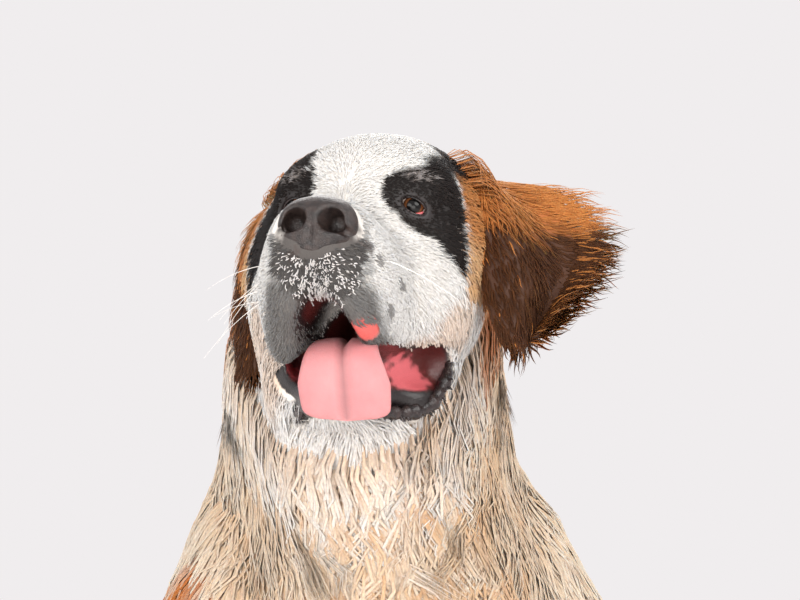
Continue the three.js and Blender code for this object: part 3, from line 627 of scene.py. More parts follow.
def muzzle_markings(colours, p, fine, rough, head):
    """Dark round the nose and down to the lip, a few spots, a tan stain by the mouth's corner, and tan on
    the cheek's lower back, partly the coat's tan and partly painted shade where the cheek turns to the
    neck.
    """
    q = into_head(p)
    fold = mirrored(q)
    y = q[:, 1]
    z = q[:, 2]
    front = patch(q, (7, 84, -71), (38, 38, 50)) * 5 + 3.0 * fine + 2.0 * rough
    rim = smooth(60, 34, MOUTH_FRONT(q) + 60 * fine) * smooth(-4, 14, y) * smooth(-80, -96, z)
    colours = lay(colours, MUZZLE_DARK, np.clip(np.maximum(front, rim * 0.9), 0, 1) * 0.94)
    spots = smooth(0.62, 0.75, noise(p, 26, 6)) * smooth(0, 14, y) * smooth(-40, -55, z)
    colours = lay(colours, SPOT_BROWN, spots * 0.7)
    stain_and_shade = patch(fold, (58, -50, -118), (30, 40, 34))
    # Tan on the cheek's lower back: partly the coat's tan, partly painted shade where the cheek turns to
    # the neck.
    stain_and_shade = np.maximum(stain_and_shade, patch(fold, (80, -44, -86), (22, 30, 34)))
    return lay(colours, TAN, np.clip(stain_and_shade * 3 + rough * 2, 0, 1) * 0.5 * head)


def markings(p):
    """The coat's colour at each point: the skin and the hair rooted in it share it."""
    wander = noise(p, 60, 1) * 0.12
    fine = noise(p, 14, 2) * 0.10
    rough = wander + fine
    head = smooth(-60, 20, in_head(p) + 30 * wander * 4)
    colours = body_markings(p, rough, head)
    colours = skull_markings(colours, p, wander, rough, head)
    colours = muzzle_markings(colours, p, fine, rough, head)
    return np.clip(colours, 0, 1)


# The whole dog's skin: a fine mesh for the head, a wider one for the rest, cut at the neck.
BODY_STEP = 7.0
HEAD_STEP = 2.4
SEAM = 6


def build_skin():
    body = mesh_field(skin, (-290, -280, -8), (310, 770, 980), BODY_STEP)
    body = clipped(*body, lambda c: in_head(c) < SEAM)
    turned = lambda q: skin(from_head(q))
    head = mesh_field(turned, (-112, -215, -215), (112, 120, 96), HEAD_STEP, from_head)
    head = clipped(*head, lambda c: in_head(c) > -SEAM)
    return body, head


(body_points, body_quads), (head_points, head_quads) = build_skin()


# Ears: a bent flap between a front edge and a back edge.
EARS = {
    "left": {
        "front": [(58, -66, 66), (78, -62, 17), (92, -60, -46), (110, -64, -88)],
        "back": [(62, -114, 68), (122, -116, 46), (160, -104, 2), (136, -86, -72)],
        "bulge": 11,
        "waves": 2,
        "thick": 6,
    },
    "right": {
        "front": [(-58, -66, 64), (-82, -60, 14), (-88, -62, -44), (-78, -66, -108)],
        "back": [(-64, -112, 66), (-116, -102, 30), (-124, -92, -34), (-112, -86, -102)],
        "bulge": -9,
        "waves": 1,
        "thick": 6,
    },
}


def catmull(points, t):
    """Points on a smooth curve through the given ones, t from 0 to 1."""
    p = np.asarray(points, float)
    padded = np.vstack([2 * p[0] - p[1], p, 2 * p[-1] - p[-2]])
    k = np.clip(np.asarray(t, float), 0, 1) * (len(p) - 1)
    n = np.minimum(k.astype(int), len(p) - 2)
    f = (k - n)[:, None]
    a, b, c, d = (padded[n + i] for i in range(4))
    return 0.5 * (2 * b + (c - a) * f + (2 * a - 5 * b + 4 * c - d) * f**2 + (3 * b - a - 3 * c + d) * f**3)


EAR_ROWS = 40
EAR_COLUMNS = 26


def ear_sheet(ear):
    t = np.linspace(0, 1, EAR_ROWS + 1)
    v = np.linspace(0, 1, EAR_COLUMNS + 1)
    front = catmull(ear["front"], t)
    back = catmull(ear["back"], t)
    out = unit(np.cross(back - front, vec(0, 0, -1)) + vec(0, 0, 0.2))
    bow = np.sin(np.pi * ear["waves"] * v)[None, :, None] * (0.4 + 0.6 * t)[:, None, None]
    sheet = front[:, None] * (1 - v)[None, :, None] + back[:, None] * v[None, :, None]
    sheet = sheet + out[:, None] * ear["bulge"] * bow
    droop = smooth(0.75, 1, t)[:, None] * (1 - (2 * v - 1) ** 2)[None]
    sheet = sheet + vec(0, 0, -1) * 12 * droop[..., None]
    across = np.gradient(sheet, axis=1)
    along = np.gradient(sheet, axis=0)
    normal = unit(np.cross(along, across))
    return sheet, normal


def ear_mesh(ear):
    sheet, normal = ear_sheet(ear)
    rows, columns = sheet.shape[:2]
    rim = np.minimum(1, 4 * np.sin(np.pi * np.linspace(0, 1, columns)))[None, :, None] * 0.5 + 0.5
    half = normal * ear["thick"] / 2 * rim
    points = np.concatenate([(sheet + half).reshape(-1, 3), (sheet - half).reshape(-1, 3)])
    grid = np.arange(rows * columns).reshape(rows, columns)
    quads = np.stack([grid[:-1, :-1], grid[:-1, 1:], grid[1:, 1:], grid[1:, :-1]], -1).reshape(-1, 4)
    back = quads[:, ::-1] + rows * columns
    edge = np.concatenate([grid[0, :-1], grid[:-1, -1], grid[-1, :0:-1], grid[:0:-1, 0]])
    after = np.roll(edge, -1)
    wall = np.stack([after, edge, edge + rows * columns, after + rows * columns], 1)
    return from_head(points), np.concatenate([quads, back, wall])


def ear_colours(p):
    """Orange at the root and top, dark brown below."""
    q = into_head(p)
    rough = noise(p, 40, 8) * 0.5 + noise(p, 12, 9) * 0.3
    dark = smooth(34, 4, q[:, 2] + 22 * rough)
    colours = np.tile(ORANGE, (len(p), 1))
    colours = lay(colours, RUST, 0.3 + 0.5 * rough)
    colours = lay(colours, DARK_BROWN, dark * 0.92)
    return colours


def wrapped_quads(grid):
    """Quads on a grid of point numbers whose rows close on themselves."""
    ahead = np.roll(grid, -1, 1)
    return np.stack([grid[:-1], ahead[:-1], ahead[1:], grid[1:]], -1).reshape(-1, 4)


# The tongue: a broad strap over the lower lip, grooved down its middle.
TONGUE_PATH = [(4, -44, -114), (9, 2, -119), (15, 27, -134), (19, 26, -158), (21, 14, -184)]
TONGUE_WIDE = [40, 52, 62, 74, 72]
TONGUE_THICK = [16, 15, 12, 9, 7]


TONGUE_GROOVE = 0.8


def tongue_mesh():
    rings = 72
    section = 48
    t = np.linspace(0, 1, rings)
    centre = catmull(TONGUE_PATH, t)
    way = unit(np.gradient(centre, axis=0))
    up = unit(np.cross(vec(1, 0, 0), way))
    knots = np.linspace(0, 1, len(TONGUE_WIDE))
    tip = np.clip(1 - ((t - 0.88) / 0.12).clip(0, 1) ** 4, 0, 1) ** 0.45
    wide = np.interp(t, knots, TONGUE_WIDE) / 2 * tip
    thick = np.interp(t, knots, TONGUE_THICK) / 2 * np.maximum(tip, 0.35)
    a = np.linspace(0, 2 * math.pi, section, endpoint=False)
    x = np.sign(np.cos(a)) * np.abs(np.cos(a)) ** 0.8
    z = np.sin(a)
    crease = np.exp(-((x / 0.10) ** 2)) * (z > 0)
    groove = 1 - TONGUE_GROOVE * crease
    cup = 0.30 * x**2 * (1 - 0.4 * t)[:, None] * np.minimum(thick, 6)[:, None]
    wobble = 1 + 0.03 * np.sin(9 * t + 1)[:, None] * np.ones(section)
    points = centre[:, None] + vec(1, 0, 0) * (wide[:, None] * x * wobble)[..., None]
    points = points + up[:, None] * (thick[:, None] * z * groove + cup)[..., None]
    points = points.reshape(-1, 3)
    grid = np.arange(rings * section).reshape(rings, section)
    quads = wrapped_quads(grid)
    light = 0.45 + 0.55 * smooth(0.12, 0.5, t)[:, None]
    shade = light * (1 - 0.34 * crease[None]) * (1 - 0.10 * x[None] ** 4)
    colours = shade.reshape(-1, 1) * TONGUE_PINK
    return from_head(points), quads, colours


def tube(path, radii, sides=10):
    """A tube along points, closed at both ends, with its own radius at each point."""
    path = np.asarray(path, float)
    way = unit(np.gradient(path, axis=0))
    guide = np.where(np.abs(way[:, 2:3]) > 0.9, vec(1, 0, 0), vec(0, 0, 1))
    u = unit(np.cross(way, guide))
    v = np.cross(way, u)
    a = np.linspace(0, 2 * math.pi, sides, endpoint=False)
    ring = u[:, None] * np.cos(a)[None, :, None] + v[:, None] * np.sin(a)[None, :, None]
    points = path[:, None] + ring * np.asarray(radii, float)[:, None, None]
    grid = np.arange(len(path) * sides).reshape(len(path), sides)
    right = np.roll(grid, -1, 1)
    quads = np.stack([grid[:-1], grid[1:], right[1:], right[:-1]], -1).reshape(-1, 4)
    points = points.reshape(-1, 3)
    ends = []
    for end, at in ((0, path[0]), (len(path) - 1, path[-1])):
        points = np.vstack([points, at])
        tip = len(points) - 1
        row = grid[end]
        around = np.roll(row, -1)
        middle = np.full(sides, tip)
        cap = np.stack([row, around, middle, middle], 1)
        ends.append(cap if end else cap[:, [1, 0, 2, 3]])
    return points, np.concatenate([quads, *ends])


def joined(parts):
    points = []
    faces = []
    count = 0
    for p, f in parts:
        points.append(p)
        faces.append(f + count)
        count += len(p)
    return np.concatenate(points), np.concatenate(faces)


# Materials.
def material(name, roughness):
    made = bpy.data.materials.new(name)
    made.use_nodes = True
    tree = made.node_tree
    shader = tree.nodes["Principled BSDF"]
    shader.inputs["Roughness"].default_value = roughness
    return made, tree, shader


def node(tree, kind, **values):
    made = tree.nodes.new(kind)
    for name, value in values.items():
        if name in made.inputs:
            made.inputs[name].default_value = value
        else:
            setattr(made, name, value)
    return made


def position_of(tree):
    return node(tree, "ShaderNodeTexCoord").outputs["Object"]


def noise_node(tree, scale, detail=3.0, roughness=0.5):
    made = node(tree, "ShaderNodeTexNoise", Scale=scale, Detail=detail, Roughness=roughness)
    tree.links.new(position_of(tree), made.inputs["Vector"])
    return made


def ramp(tree, source, stops):
    made = tree.nodes.new("ShaderNodeValToRGB")
    elements = made.color_ramp.elements
    elements[0].position, elements[0].color = stops[0][0], (*stops[0][1], 1)
    elements[1].position, elements[1].color = stops[-1][0], (*stops[-1][1], 1)
    for position, colour in stops[1:-1]:
        elements.new(position).color = (*colour, 1)
    tree.links.new(source, made.inputs["Fac"])
    return made.outputs["Color"]


def mixed(tree, a, b, factor, kind="MIX"):
    made = node(tree, "ShaderNodeMix", data_type="RGBA", blend_type=kind)
    for value, place in ((factor, 0), (a, 6), (b, 7)):
        socket = made.inputs[place]
        if hasattr(value, "links"):
            tree.links.new(value, socket)
        elif place == 0:
            socket.default_value = value
        else:
            socket.default_value = (*value, 1)
    return made.outputs[2]


def bump(tree, shader, height, strength, distance):
    made = node(tree, "ShaderNodeBump", Strength=strength, Distance=distance)
    tree.links.new(height, made.inputs["Height"])
    tree.links.new(made.outputs["Normal"], shader.inputs["Normal"])


def hair_material():
    made, tree, shader = material("coat_hair", 0.55)
    shader.inputs["Specular IOR Level"].default_value = 0.14
    shader.inputs["Subsurface Weight"].default_value = 0.4
    shader.inputs["Subsurface Radius"].default_value = (1.0, 0.62, 0.42)
    shader.inputs["Subsurface Scale"].default_value = 0.006
    colour = node(tree, "ShaderNodeVertexColor", layer_name="Coat").outputs["Color"]
    streak = ramp(tree, noise_node(tree, 420, 2).outputs["Fac"], [(0.3, (0.82,) * 3), (0.7, (1.06,) * 3)])
    tree.links.new(mixed(tree, colour, streak, 1.0, "MULTIPLY"), shader.inputs["Base Color"])
    return made


def skin_material():
    made, tree, shader = material("skin", 0.6)
    colour = node(tree, "ShaderNodeVertexColor", layer_name="Coat").outputs["Color"]
    grain = noise_node(tree, 900, 3)
    shade = ramp(tree, grain.outputs["Fac"], [(0.3, (0.86,) * 3), (0.7, (1.05,) * 3)])
    tree.links.new(mixed(tree, colour, shade, 1.0, "MULTIPLY"), shader.inputs["Base Color"])
    wet = node(tree, "ShaderNodeAttribute", attribute_name="Wet").outputs["Fac"]
    dry = node(tree, "ShaderNodeMapRange")
    dry.inputs["To Min"].default_value = 0.68
    dry.inputs["To Max"].default_value = 0.28
    tree.links.new(wet, dry.inputs["Value"])
    tree.links.new(dry.outputs["Result"], shader.inputs["Roughness"])
    bump(tree, shader, grain.outputs["Fac"], 0.5, 0.0008)
    return made


def toned(name, roughness, scale, detail, dark, light):
    """A material whose colour wanders between two tones; each tone is (place on the noise, r, g, b)."""
    made, tree, shader = material(name, roughness)
    stops = [(place, tuple(srgb(*tone))) for place, *tone in (dark, light)]
    colour = ramp(tree, noise_node(tree, scale, detail).outputs["Fac"], stops)
    tree.links.new(colour, shader.inputs["Base Color"])
    return made, tree, shader


def nose_material():
    made, tree, shader = toned("nose_skin", 0.34, 160, 3, (0.35, 28, 22, 21), (0.7, 60, 48, 44))
    shader.inputs["Specular IOR Level"].default_value = 0.55
    cells = node(tree, "ShaderNodeTexVoronoi", Scale=620.0, feature="DISTANCE_TO_EDGE")
    tree.links.new(position_of(tree), cells.inputs["Vector"])
    bump(tree, shader, cells.outputs["Distance"], 0.75, 0.0009)
    return made


def tongue_material():
    made, tree, shader = material("tongue_flesh", 0.36)
    shader.inputs["Subsurface Weight"].default_value = 0.25
    shader.inputs["Subsurface Radius"].default_value = (1.0, 0.35, 0.25)
    shader.inputs["Subsurface Scale"].default_value = 0.004
    stops = [(0.3, (0.88, 0.84, 0.86)), (0.7, (1.0, 1.0, 1.0))]
    tone = ramp(tree, noise_node(tree, 55, 4).outputs["Fac"], stops)
    colour = node(tree, "ShaderNodeVertexColor", layer_name="Coat").outputs["Color"]
    tree.links.new(mixed(tree, colour, tone, 1.0, "MULTIPLY"), shader.inputs["Base Color"])
    fine = noise_node(tree, 900, 3, 0.7)
    bump(tree, shader, fine.outputs["Fac"], 0.5, 0.0008)
    return made


def cheek_material():
    made, tree, shader = toned("cheek_flesh", 0.3, 140, 4, (0.3, 168, 62, 70), (0.65, 226, 120, 122))
    bump(tree, shader, noise_node(tree, 300, 3).outputs["Fac"], 0.6, 0.001)
    return made


def lip_material():
    made, tree, shader = toned("lip_skin", 0.25, 120, 3, (0.35, 22, 17, 18), (0.75, 58, 44, 42))
    bump(tree, shader, noise_node(tree, 500, 3).outputs["Fac"], 0.6, 0.001)
    return made


def claw_material():
    return toned("claw_horn", 0.35, 90, 3, (0.3, 58, 48, 42), (0.7, 122, 104, 88))[0]


def collar_material():
    made, tree, shader = material("collar_web", 0.6)
    weave = node(tree, "ShaderNodeTexChecker", Scale=900.0)
    weave.inputs["Color1"].default_value = (*srgb(24, 22, 24), 1)
    weave.inputs["Color2"].default_value = (*srgb(44, 40, 42), 1)
    tree.links.new(position_of(tree), weave.inputs["Vector"])
    tree.links.new(weave.outputs["Color"], shader.inputs["Base Color"])
    bump(tree, shader, weave.outputs["Fac"], 0.4, 0.0006)
    return made


HAIR = hair_material()
SKIN = skin_material()
NOSE_SKIN = nose_material()
TONGUE_FLESH = tongue_material()
LIP_SKIN = lip_material()
CLAW_HORN = claw_material()
COLLAR_WEB = collar_material()


# The lower lip's edge, from the corner of the mouth to the chin.
def lip_path(s):
    knots = [
        (s * 60, -84, -92),
        (s * 66, -76, -110),
        (s * 64, -68, -130),
        (s * 57, -62, -145),
        (s * 47, -50, -154),
        (s * 37, -34, -160),
        (s * 25, -12, -164),
        (s * 12, 0, -166),
        (0, 4, -166),
    ]
    t = np.linspace(0, 1, 150)
    return catmull(knots, t), t


LIP_BARE = 7.0
SORE_AT = (37, 42, -118)
LIP_LINE = np.concatenate([lip_path(s)[0][20::5] for s in (1, -1)])


def lip_distance(q):
    return np.min(np.linalg.norm(q[:, None] - LIP_LINE[None], axis=2), axis=1)


def lip_slope(q):
    """True on the lower lip's bare inner slope, between the mouth and its rim."""
    return (MOUTH(q) < 16) & (q[:, 2] < -124) & (np.abs(q[:, 0]) > 18) & (q[:, 1] < 4)


# The skin object.
def skin_paint(points):
    colours = markings(points)
    q = into_head(points)
    near_head = np.linalg.norm(q, axis=1) < FACE_REACH
    mouth = MOUTH(q)
    wide = 2 + 5 * smooth(-105, -125, q[:, 2])
    lips = smooth(wide + 6, wide + 2, mouth) * near_head
    inner = smooth(4.4, 3.0, mouth) * near_head
    edge = np.zeros(len(points))
    edge[near_head] = smooth(13, 8, lip_distance(q[near_head]))
    lips = np.maximum(lips, np.maximum(edge, lip_slope(q) * near_head))
    colours = lay(colours, LIP_BLACK, lips)
    colours = lay(colours, MOUTH_RED, inner)
    lining = patch(mirrored(q), (44, -44, -126), (19, 30, 17)) * 4 + noise(points, 12, 31)
    colours = lay(colours, CHEEK_PINK, np.clip(lining, 0, 1) * inner)
    sore = patch(q, SORE_AT, (15, 15, 11)) * 4
    sore = np.maximum(sore, patch(q, (-38, 12, -128), (9, 12, 12)) * 4)
    colours = lay(colours, LIP_PINK, np.clip(sore, 0, 1) * near_head)
    rims = np.zeros(len(points))
    for s in (1, -1):
        n = from_eye(q, s)
        rims = np.maximum(rims, smooth(4.5, 2.5, almond_at(n, s)) * (np.linalg.norm(n, axis=1) < 30))
    colours = lay(colours, LIP_BLACK, rims)
    return colours, np.maximum(lips, rims * 0.5)


FLESH_NODES = [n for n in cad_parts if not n.startswith(("eye", "nose", "tongue", "collar"))]
ear_parts = {side: ear_mesh(EARS[side]) for side in EARS}
body_colours, body_wet = skin_paint(body_points)
head_colours, head_wet = skin_paint(head_points)
all_parts = [(body_points, body_quads), (head_points, head_quads)] + list(ear_parts.values())
skin_points, skin_quads = joined(all_parts)
ear_paints = [ear_colours(p) for p, _ in ear_parts.values()]
skin_colours = np.concatenate([body_colours, head_colours] + ear_paints)
skin_wet = np.concatenate([body_wet, head_wet] + [np.zeros(len(p)) for p, _ in ear_parts.values()])
skin_piece = mesh_object("skin", skin_points, skin_quads, skin_colours, wet=skin_wet)
finish_piece(skin_piece, SKIN, FLESH_NODES)


# Eyes: a ball with a domed clear front, iris and pupil painted by the angle off the gaze.
def eye_material(s):
    made, tree, shader = material("eye_" + ("left" if s > 0 else "right"), 0.06)
    shader.inputs["Specular IOR Level"].default_value = 0.35
    gaze = head_way(EYE_FRAMES[s][0])
    centre = (eye_centre(s) + SHIFT) * MM
    place = position_of(tree)
    offset = node(tree, "ShaderNodeVectorMath", operation="SUBTRACT")
    offset.inputs[1].default_value = centre
    tree.links.new(place, offset.inputs[0])
    straight = node(tree, "ShaderNodeVectorMath", operation="NORMALIZE")
    tree.links.new(offset.outputs[0], straight.inputs[0])
    along = node(tree, "ShaderNodeVectorMath", operation="DOT_PRODUCT")
    along.inputs[1].default_value = gaze
    tree.links.new(straight.outputs[0], along.inputs[0])
    streaks = noise_node(tree, 900, 2)
    stops = [
        (0.0, tuple(srgb(206, 190, 180))),
        (0.30, tuple(srgb(206, 190, 180))),
        (0.36, tuple(srgb(24, 14, 10))),
        (0.46, tuple(srgb(78, 44, 24))),
        (0.66, tuple(srgb(112, 68, 38))),
        (0.74, tuple(srgb(52, 30, 18))),
        (0.78, tuple(srgb(6, 5, 5))),
        (1.0, tuple(srgb(6, 5, 5))),
    ]
    spread = node(tree, "ShaderNodeMapRange")
    spread.inputs["From Min"].default_value = 0.6
    tree.links.new(along.outputs["Value"], spread.inputs["Value"])
    iris = ramp(tree, spread.outputs["Result"], stops)
    shade = ramp(tree, streaks.outputs["Fac"], [(0.3, (0.7,) * 3), (0.7, (1.1,) * 3)])
    tree.links.new(mixed(tree, iris, shade, 1.0, "MULTIPLY"), shader.inputs["Base Color"])
    return made


def eye_mesh(s):
    rings = 48
    section = 64
    gaze, across, up = EYE_FRAMES[s]
    tilt = np.linspace(0.002, math.pi - 0.002, rings)
    cornea = 1.0 * np.exp(-((tilt / 0.5) ** 2))
    radius = EYE_RADIUS - 0.3 + cornea
    a = np.linspace(0, 2 * math.pi, section, endpoint=False)
    ring = across * np.cos(a)[:, None] + up * np.sin(a)[:, None]
    points = gaze * (radius * np.cos(tilt))[:, None, None] + ring * (radius * np.sin(tilt))[:, None, None]
    points = points + vec(s * EYE_SPREAD, EYE_DEPTH, 0)
    grid = np.arange(rings * section).reshape(rings, section)
    quads = wrapped_quads(grid)
    return from_head(points.reshape(-1, 3)), quads


for s, side in ((1, "left"), (-1, "right")):
    ball = mesh_object("eyeball_" + side, *eye_mesh(s))
    finish_piece(ball, eye_material(s), ["eye_" + side])


# The lids' black rims, and the pink haw inside each lower lid.
def lid_rim(s):
    gaze, across, up = EYE_FRAMES[s]
    a = np.linspace(0, 2 * math.pi, 64)
    x = LID_LONG * 0.98 * np.cos(a)
    y = LID_HIGH * 0.96 * np.sin(a)
    ahead = np.sqrt(np.maximum(4, (EYE_RADIUS + 0.9) ** 2 - x**2 - y**2))
    path = across * x[:, None] + up * y[:, None] + gaze * ahead[:, None]
    return from_head(path + vec(s * EYE_SPREAD, EYE_DEPTH, 0))


def haw(s):
    """The pink edge that shows inside the lower lid, towards its outer corner."""
    gaze, across, up = EYE_FRAMES[s]
    a = np.radians(np.linspace(-62, 2, 24) if s > 0 else np.linspace(-118, -182, 24))
    x = LID_LONG * 0.80 * np.cos(a)
    y = LID_HIGH * 0.80 * np.sin(a)
    ahead = np.sqrt(np.maximum(4, (EYE_RADIUS + 0.1) ** 2 - x**2 - y**2))
    path = across * x[:, None] + up * y[:, None] + gaze * ahead[:, None]
    thick = 1.1 * np.sin(np.linspace(0.15, math.pi - 0.3, 24))
    return tube(from_head(path + vec(s * EYE_SPREAD, EYE_DEPTH, 0)), thick, 8)


finish_piece(mesh_object("haws", *joined([haw(1), haw(-1)])), cheek_material())
rims = joined([tube(lid_rim(s), np.full(64, 1.1)) for s in (1, -1)])
finish_piece(mesh_object("lid_rims", *rims), LIP_SKIN)

nose_points, nose_quads = mesh_field(nose_form, (-36, 62, -86), (42, 118, -18), 1.3, from_head)
finish_piece(mesh_object("nose_pad", nose_points, nose_quads), NOSE_SKIN, ["nose"])
finish_piece(mesh_object("tongue_strap", *tongue_mesh()), TONGUE_FLESH, ["tongue"])


# The lower lip's black, notched rim, which hangs at the corners of the mouth.
def lip_rim(s):
    path, t = lip_path(s)
    uneven = 1 + 0.16 * np.sin(t * 43) + 0.10 * np.sin(t * 97 + 1)
    radii = (2.6 + 3.4 * np.sin(np.pi * np.clip(t * 1.25, 0, 1))) * uneven
    return tube(from_head(path), radii, 12)


lip_piece = mesh_object("lower_lips", *joined([lip_rim(1), lip_rim(-1)]))
finish_piece(lip_piece, LIP_SKIN)


# Soft points stand along the hanging part of the lip.
def lip_points(s):
    made = []
    path, _ = lip_path(s)
    for k in range(20):
        at = path[26 + k * 4]
        way = unit(vec(s * (0.75 - 0.03 * k), 0.15 - 0.02 * k, -0.35 - 0.035 * k) + rng.normal(0, 0.16, 3))
        t = np.linspace(0, 1, 7)[:, None]
        length = rng.uniform(4.5, 8.5)
        made.append(tube(from_head(at + way * (1.5 + length * t)), 2.1 * (1 - t[:, 0]) ** 0.7 + 0.2, 7))
    return joined(made)


finish_piece(mesh_object("lip_points", *joined([lip_points(1), lip_points(-1)])), LIP_SKIN)


# Claws curve down from the toes.
def claw(centre):
    x, y, z = centre
    t = np.linspace(0, 1, 12)
    reach = 24
    path = np.stack([np.full(12, x), y - TOE_RADII[1] + 8 - reach * t, z - 6 - 10 * t**1.6], 1)
    return tube(path, 4.6 * (1 - t) ** 0.7 + 0.4, 10)


claws = joined([claw(c) for x, y in PAWS for c in toe_centres(x, y)])
finish_piece(mesh_object("claws", *claws), CLAW_HORN)

# The collar: a flat band round the neck, sunk in the ruff.
COLLAR_AT = vec(-10, -20, 714)
COLLAR_TILT = unit(vec(-0.04, -0.36, 0.93))
COLLAR_WIDE = 16
COLLAR_THICK = 4
COLLAR_SINK = 5


def collar_band():
    u = unit(np.cross(COLLAR_TILT, vec(1, 0, 0)))
    v = unit(np.cross(COLLAR_TILT, u))
    a = np.linspace(0, 2 * math.pi, 180, endpoint=False)
    ways = u * np.cos(a)[:, None] + v * np.sin(a)[:, None]
    reach = np.full(len(a), 60.0)
    for _ in range(60):
        reach = reach - flesh(COLLAR_AT + ways * reach[:, None]) * 0.7
    round_section = []
    for k in range(12):
        turn = 2 * math.pi * k / 12
        wide = np.sign(math.cos(turn)) * abs(math.cos(turn)) ** 0.5 * COLLAR_WIDE / 2
        deep = np.sign(math.sin(turn)) * abs(math.sin(turn)) ** 0.7 * COLLAR_THICK / 2
        round_section.append((deep, wide))
    rings = [
        COLLAR_AT + ways * (reach - COLLAR_SINK + deep)[:, None] + COLLAR_TILT * wide
        for deep, wide in round_section
    ]
    points = np.stack(rings, 1).reshape(-1, 3)
    grid = np.arange(len(a) * 12).reshape(len(a), 12)
    ahead = np.roll(grid, -1, 0)
    quads = np.stack([grid, ahead, np.roll(ahead, -1, 1), np.roll(grid, -1, 1)], -1).reshape(-1, 4)
    return points, quads


finish_piece(mesh_object("collar_band", *collar_band()), COLLAR_WEB, ["collar"])


# Tufts: three-sided tapered strands, joined into pieces.
# A strand's patch in the OFBake map sits where its root is on the skin's unwrap.
PATCH = 0.003


def unwrap(points, normals, low, high):
    """The skin laid out by the way it faces: six windows, three across and two up."""
    size = np.maximum(high - low, 1)
    place = (points - low) / size
    axis = np.abs(normals).argmax(1)
    rows = np.arange(len(points))
    facing = (normals[rows, axis] > 0).astype(float)
    u = place[rows, (axis + 1) % 3]
    v = place[rows, (axis + 2) % 3]
    return np.stack([(axis + 0.03 + 0.94 * u) / 3, (facing + 0.03 + 0.94 * v) / 2], 1)


# A strand is narrower at its root, widest soon after, and thin at its tip.
ROOT_SHARE = 0.55
TIP_LOSS = 0.86
STRAND_FLAT = 0.22


def strands(name, roots, normals, path, width, colours, tip_colours, kept=0.7):
    """path is (strand, station, 3); each station but the last has three corners, the last is the tip.

    kept is how far a strand's normals bend towards the skin's, which makes the coat shade as one surface.
    """
    count, stations = path.shape[:2]
    way = unit(np.gradient(path, axis=1))
    side = unit(np.cross(way, normals[:, None]))
    out = np.cross(side, way)
    taper = np.linspace(0, 1, stations)[:-1]
    shape = np.minimum(1, ROOT_SHARE + 1.6 * taper) * (1 - TIP_LOSS * taper**1.5)
    half = width[:, None] * shape / 2
    body = path[:, :-1]
    corners = np.stack(
        [
            body + side[:, :-1] * half[..., None],
            body + out[:, :-1] * half[..., None] * STRAND_FLAT * 2,
            body - side[:, :-1] * half[..., None],
        ],
        2,
    ).reshape(count, -1, 3)
    points = np.concatenate([corners, path[:, -1:]], 1)
    each = points.shape[1]
    tris = [(0, 1, 2)]
    for k in range(stations - 2):
        for i in range(3):
            a = 3 * k + i
            b = 3 * k + (i + 1) % 3
            tris += [(a, b + 3, b), (a, a + 3, b + 3)]
    top = 3 * (stations - 2)
    tris += [(top + i, each - 1, top + (i + 1) % 3) for i in range(3)]
    faces = (np.arange(count)[:, None, None] * each + np.array(tris)[None]).reshape(-1, 3)
    along = np.concatenate([np.repeat(taper, 3), [1.0]])[None, :, None]
    blended = np.minimum(1, 1.6 * along)
    paint = colours[:, None] * (1 - blended) + tip_colours[:, None] * blended
    base = unwrap(roots, normals, roots.min(0), roots.max(0))
    spread = np.stack([np.tile([0, 0.5, 1], stations - 1), np.repeat(taper, 3)], 1)
    spread = (np.vstack([spread, [0.5, 1]]) - 0.5) * PATCH
    uv = (base[:, None] + spread[None]).reshape(-1, 2)
    piece = mesh_object(name, points.reshape(-1, 3), faces, paint.reshape(-1, 3).clip(0, 1), uv)
    facing = np.stack([side[:, :-1], out[:, :-1], -side[:, :-1]], 2).reshape(count, -1, 3)
    facing = np.concatenate([facing, normals[:, None]], 1) * (1 - kept)
    facing = unit(facing + normals[:, None] * kept)
    piece.data.normals_split_custom_set_from_vertices(facing.reshape(-1, 3))
    return finish_piece(piece, HAIR)


def scatter(points, quads, count, weight):
    """Random points on a quad mesh, spread by area times weight."""
    a, b, c, d = (points[quads[:, i]] for i in range(4))
    first = np.linalg.norm(np.cross(b - a, c - a), axis=1)
    second = np.linalg.norm(np.cross(c - a, d - a), axis=1)
    area = 0.5 * (first + second)
    share = area * weight((a + b + c + d) / 4)
    pick = rng.choice(len(quads), count, p=share / share.sum())
    u = rng.random((count, 1))
    v = rng.random((count, 1))
    return a[pick] * (1 - u) * (1 - v) + b[pick] * u * (1 - v) + c[pick] * u * v + d[pick] * (1 - u) * v


# Which way the coat lies.
def lie_of(p):
    q = into_head(p)
    head = smooth(-30, 30, in_head(p))[:, None]
    sideways = np.tanh(q[:, 0] / 12) * (0.35 + 0.4 * smooth(20, -60, q[:, 2]))
    drop = 0.9 * smooth(0, -80, q[:, 2]) * smooth(60, -30, q[:, 1]) + 0.5 * smooth(-60, -100, q[:, 2])
    on_face = np.stack([sideways, -np.ones(len(q)), 0.1 - drop], 1)
    on_face = unit(on_face) @ HEAD_AXES
    front = smooth(90, -40, p[:, 1])[:, None]
    down = vec(0, -0.12, -1) * front + vec(0, 0.8, -0.62) * (1 - front)
    sides = np.stack([np.tanh(p[:, 0] / 60) * 0.28, np.zeros(len(p)), np.zeros(len(p))], 1)
    legs = smooth(330, 250, p[:, 2])[:, None] * smooth(330, 260, p[:, 1])[:, None]
    body = unit((down + sides) * (1 - legs) + vec(0, 0.2, -1) * legs)
    swirl = np.stack([noise(p, 150, 11), noise(p, 150, 12), noise(p, 150, 13) * 0.5], 1) * 0.32
    body = body + swirl * (1 - legs)
    on_tail = smooth(480, 520, p[:, 1])[:, None]
    nearest = np.argmin(np.linalg.norm(p[:, None] - np.array(TAIL, float)[None, :-1], axis=2), axis=1)
    steps = unit(np.diff(np.array(TAIL, float), axis=0))
    tail_way = steps[nearest] + vec(0, 0, -0.1)
    body = body * (1 - on_tail) + tail_way * on_tail
    return unit(on_face * head + body * (1 - head))


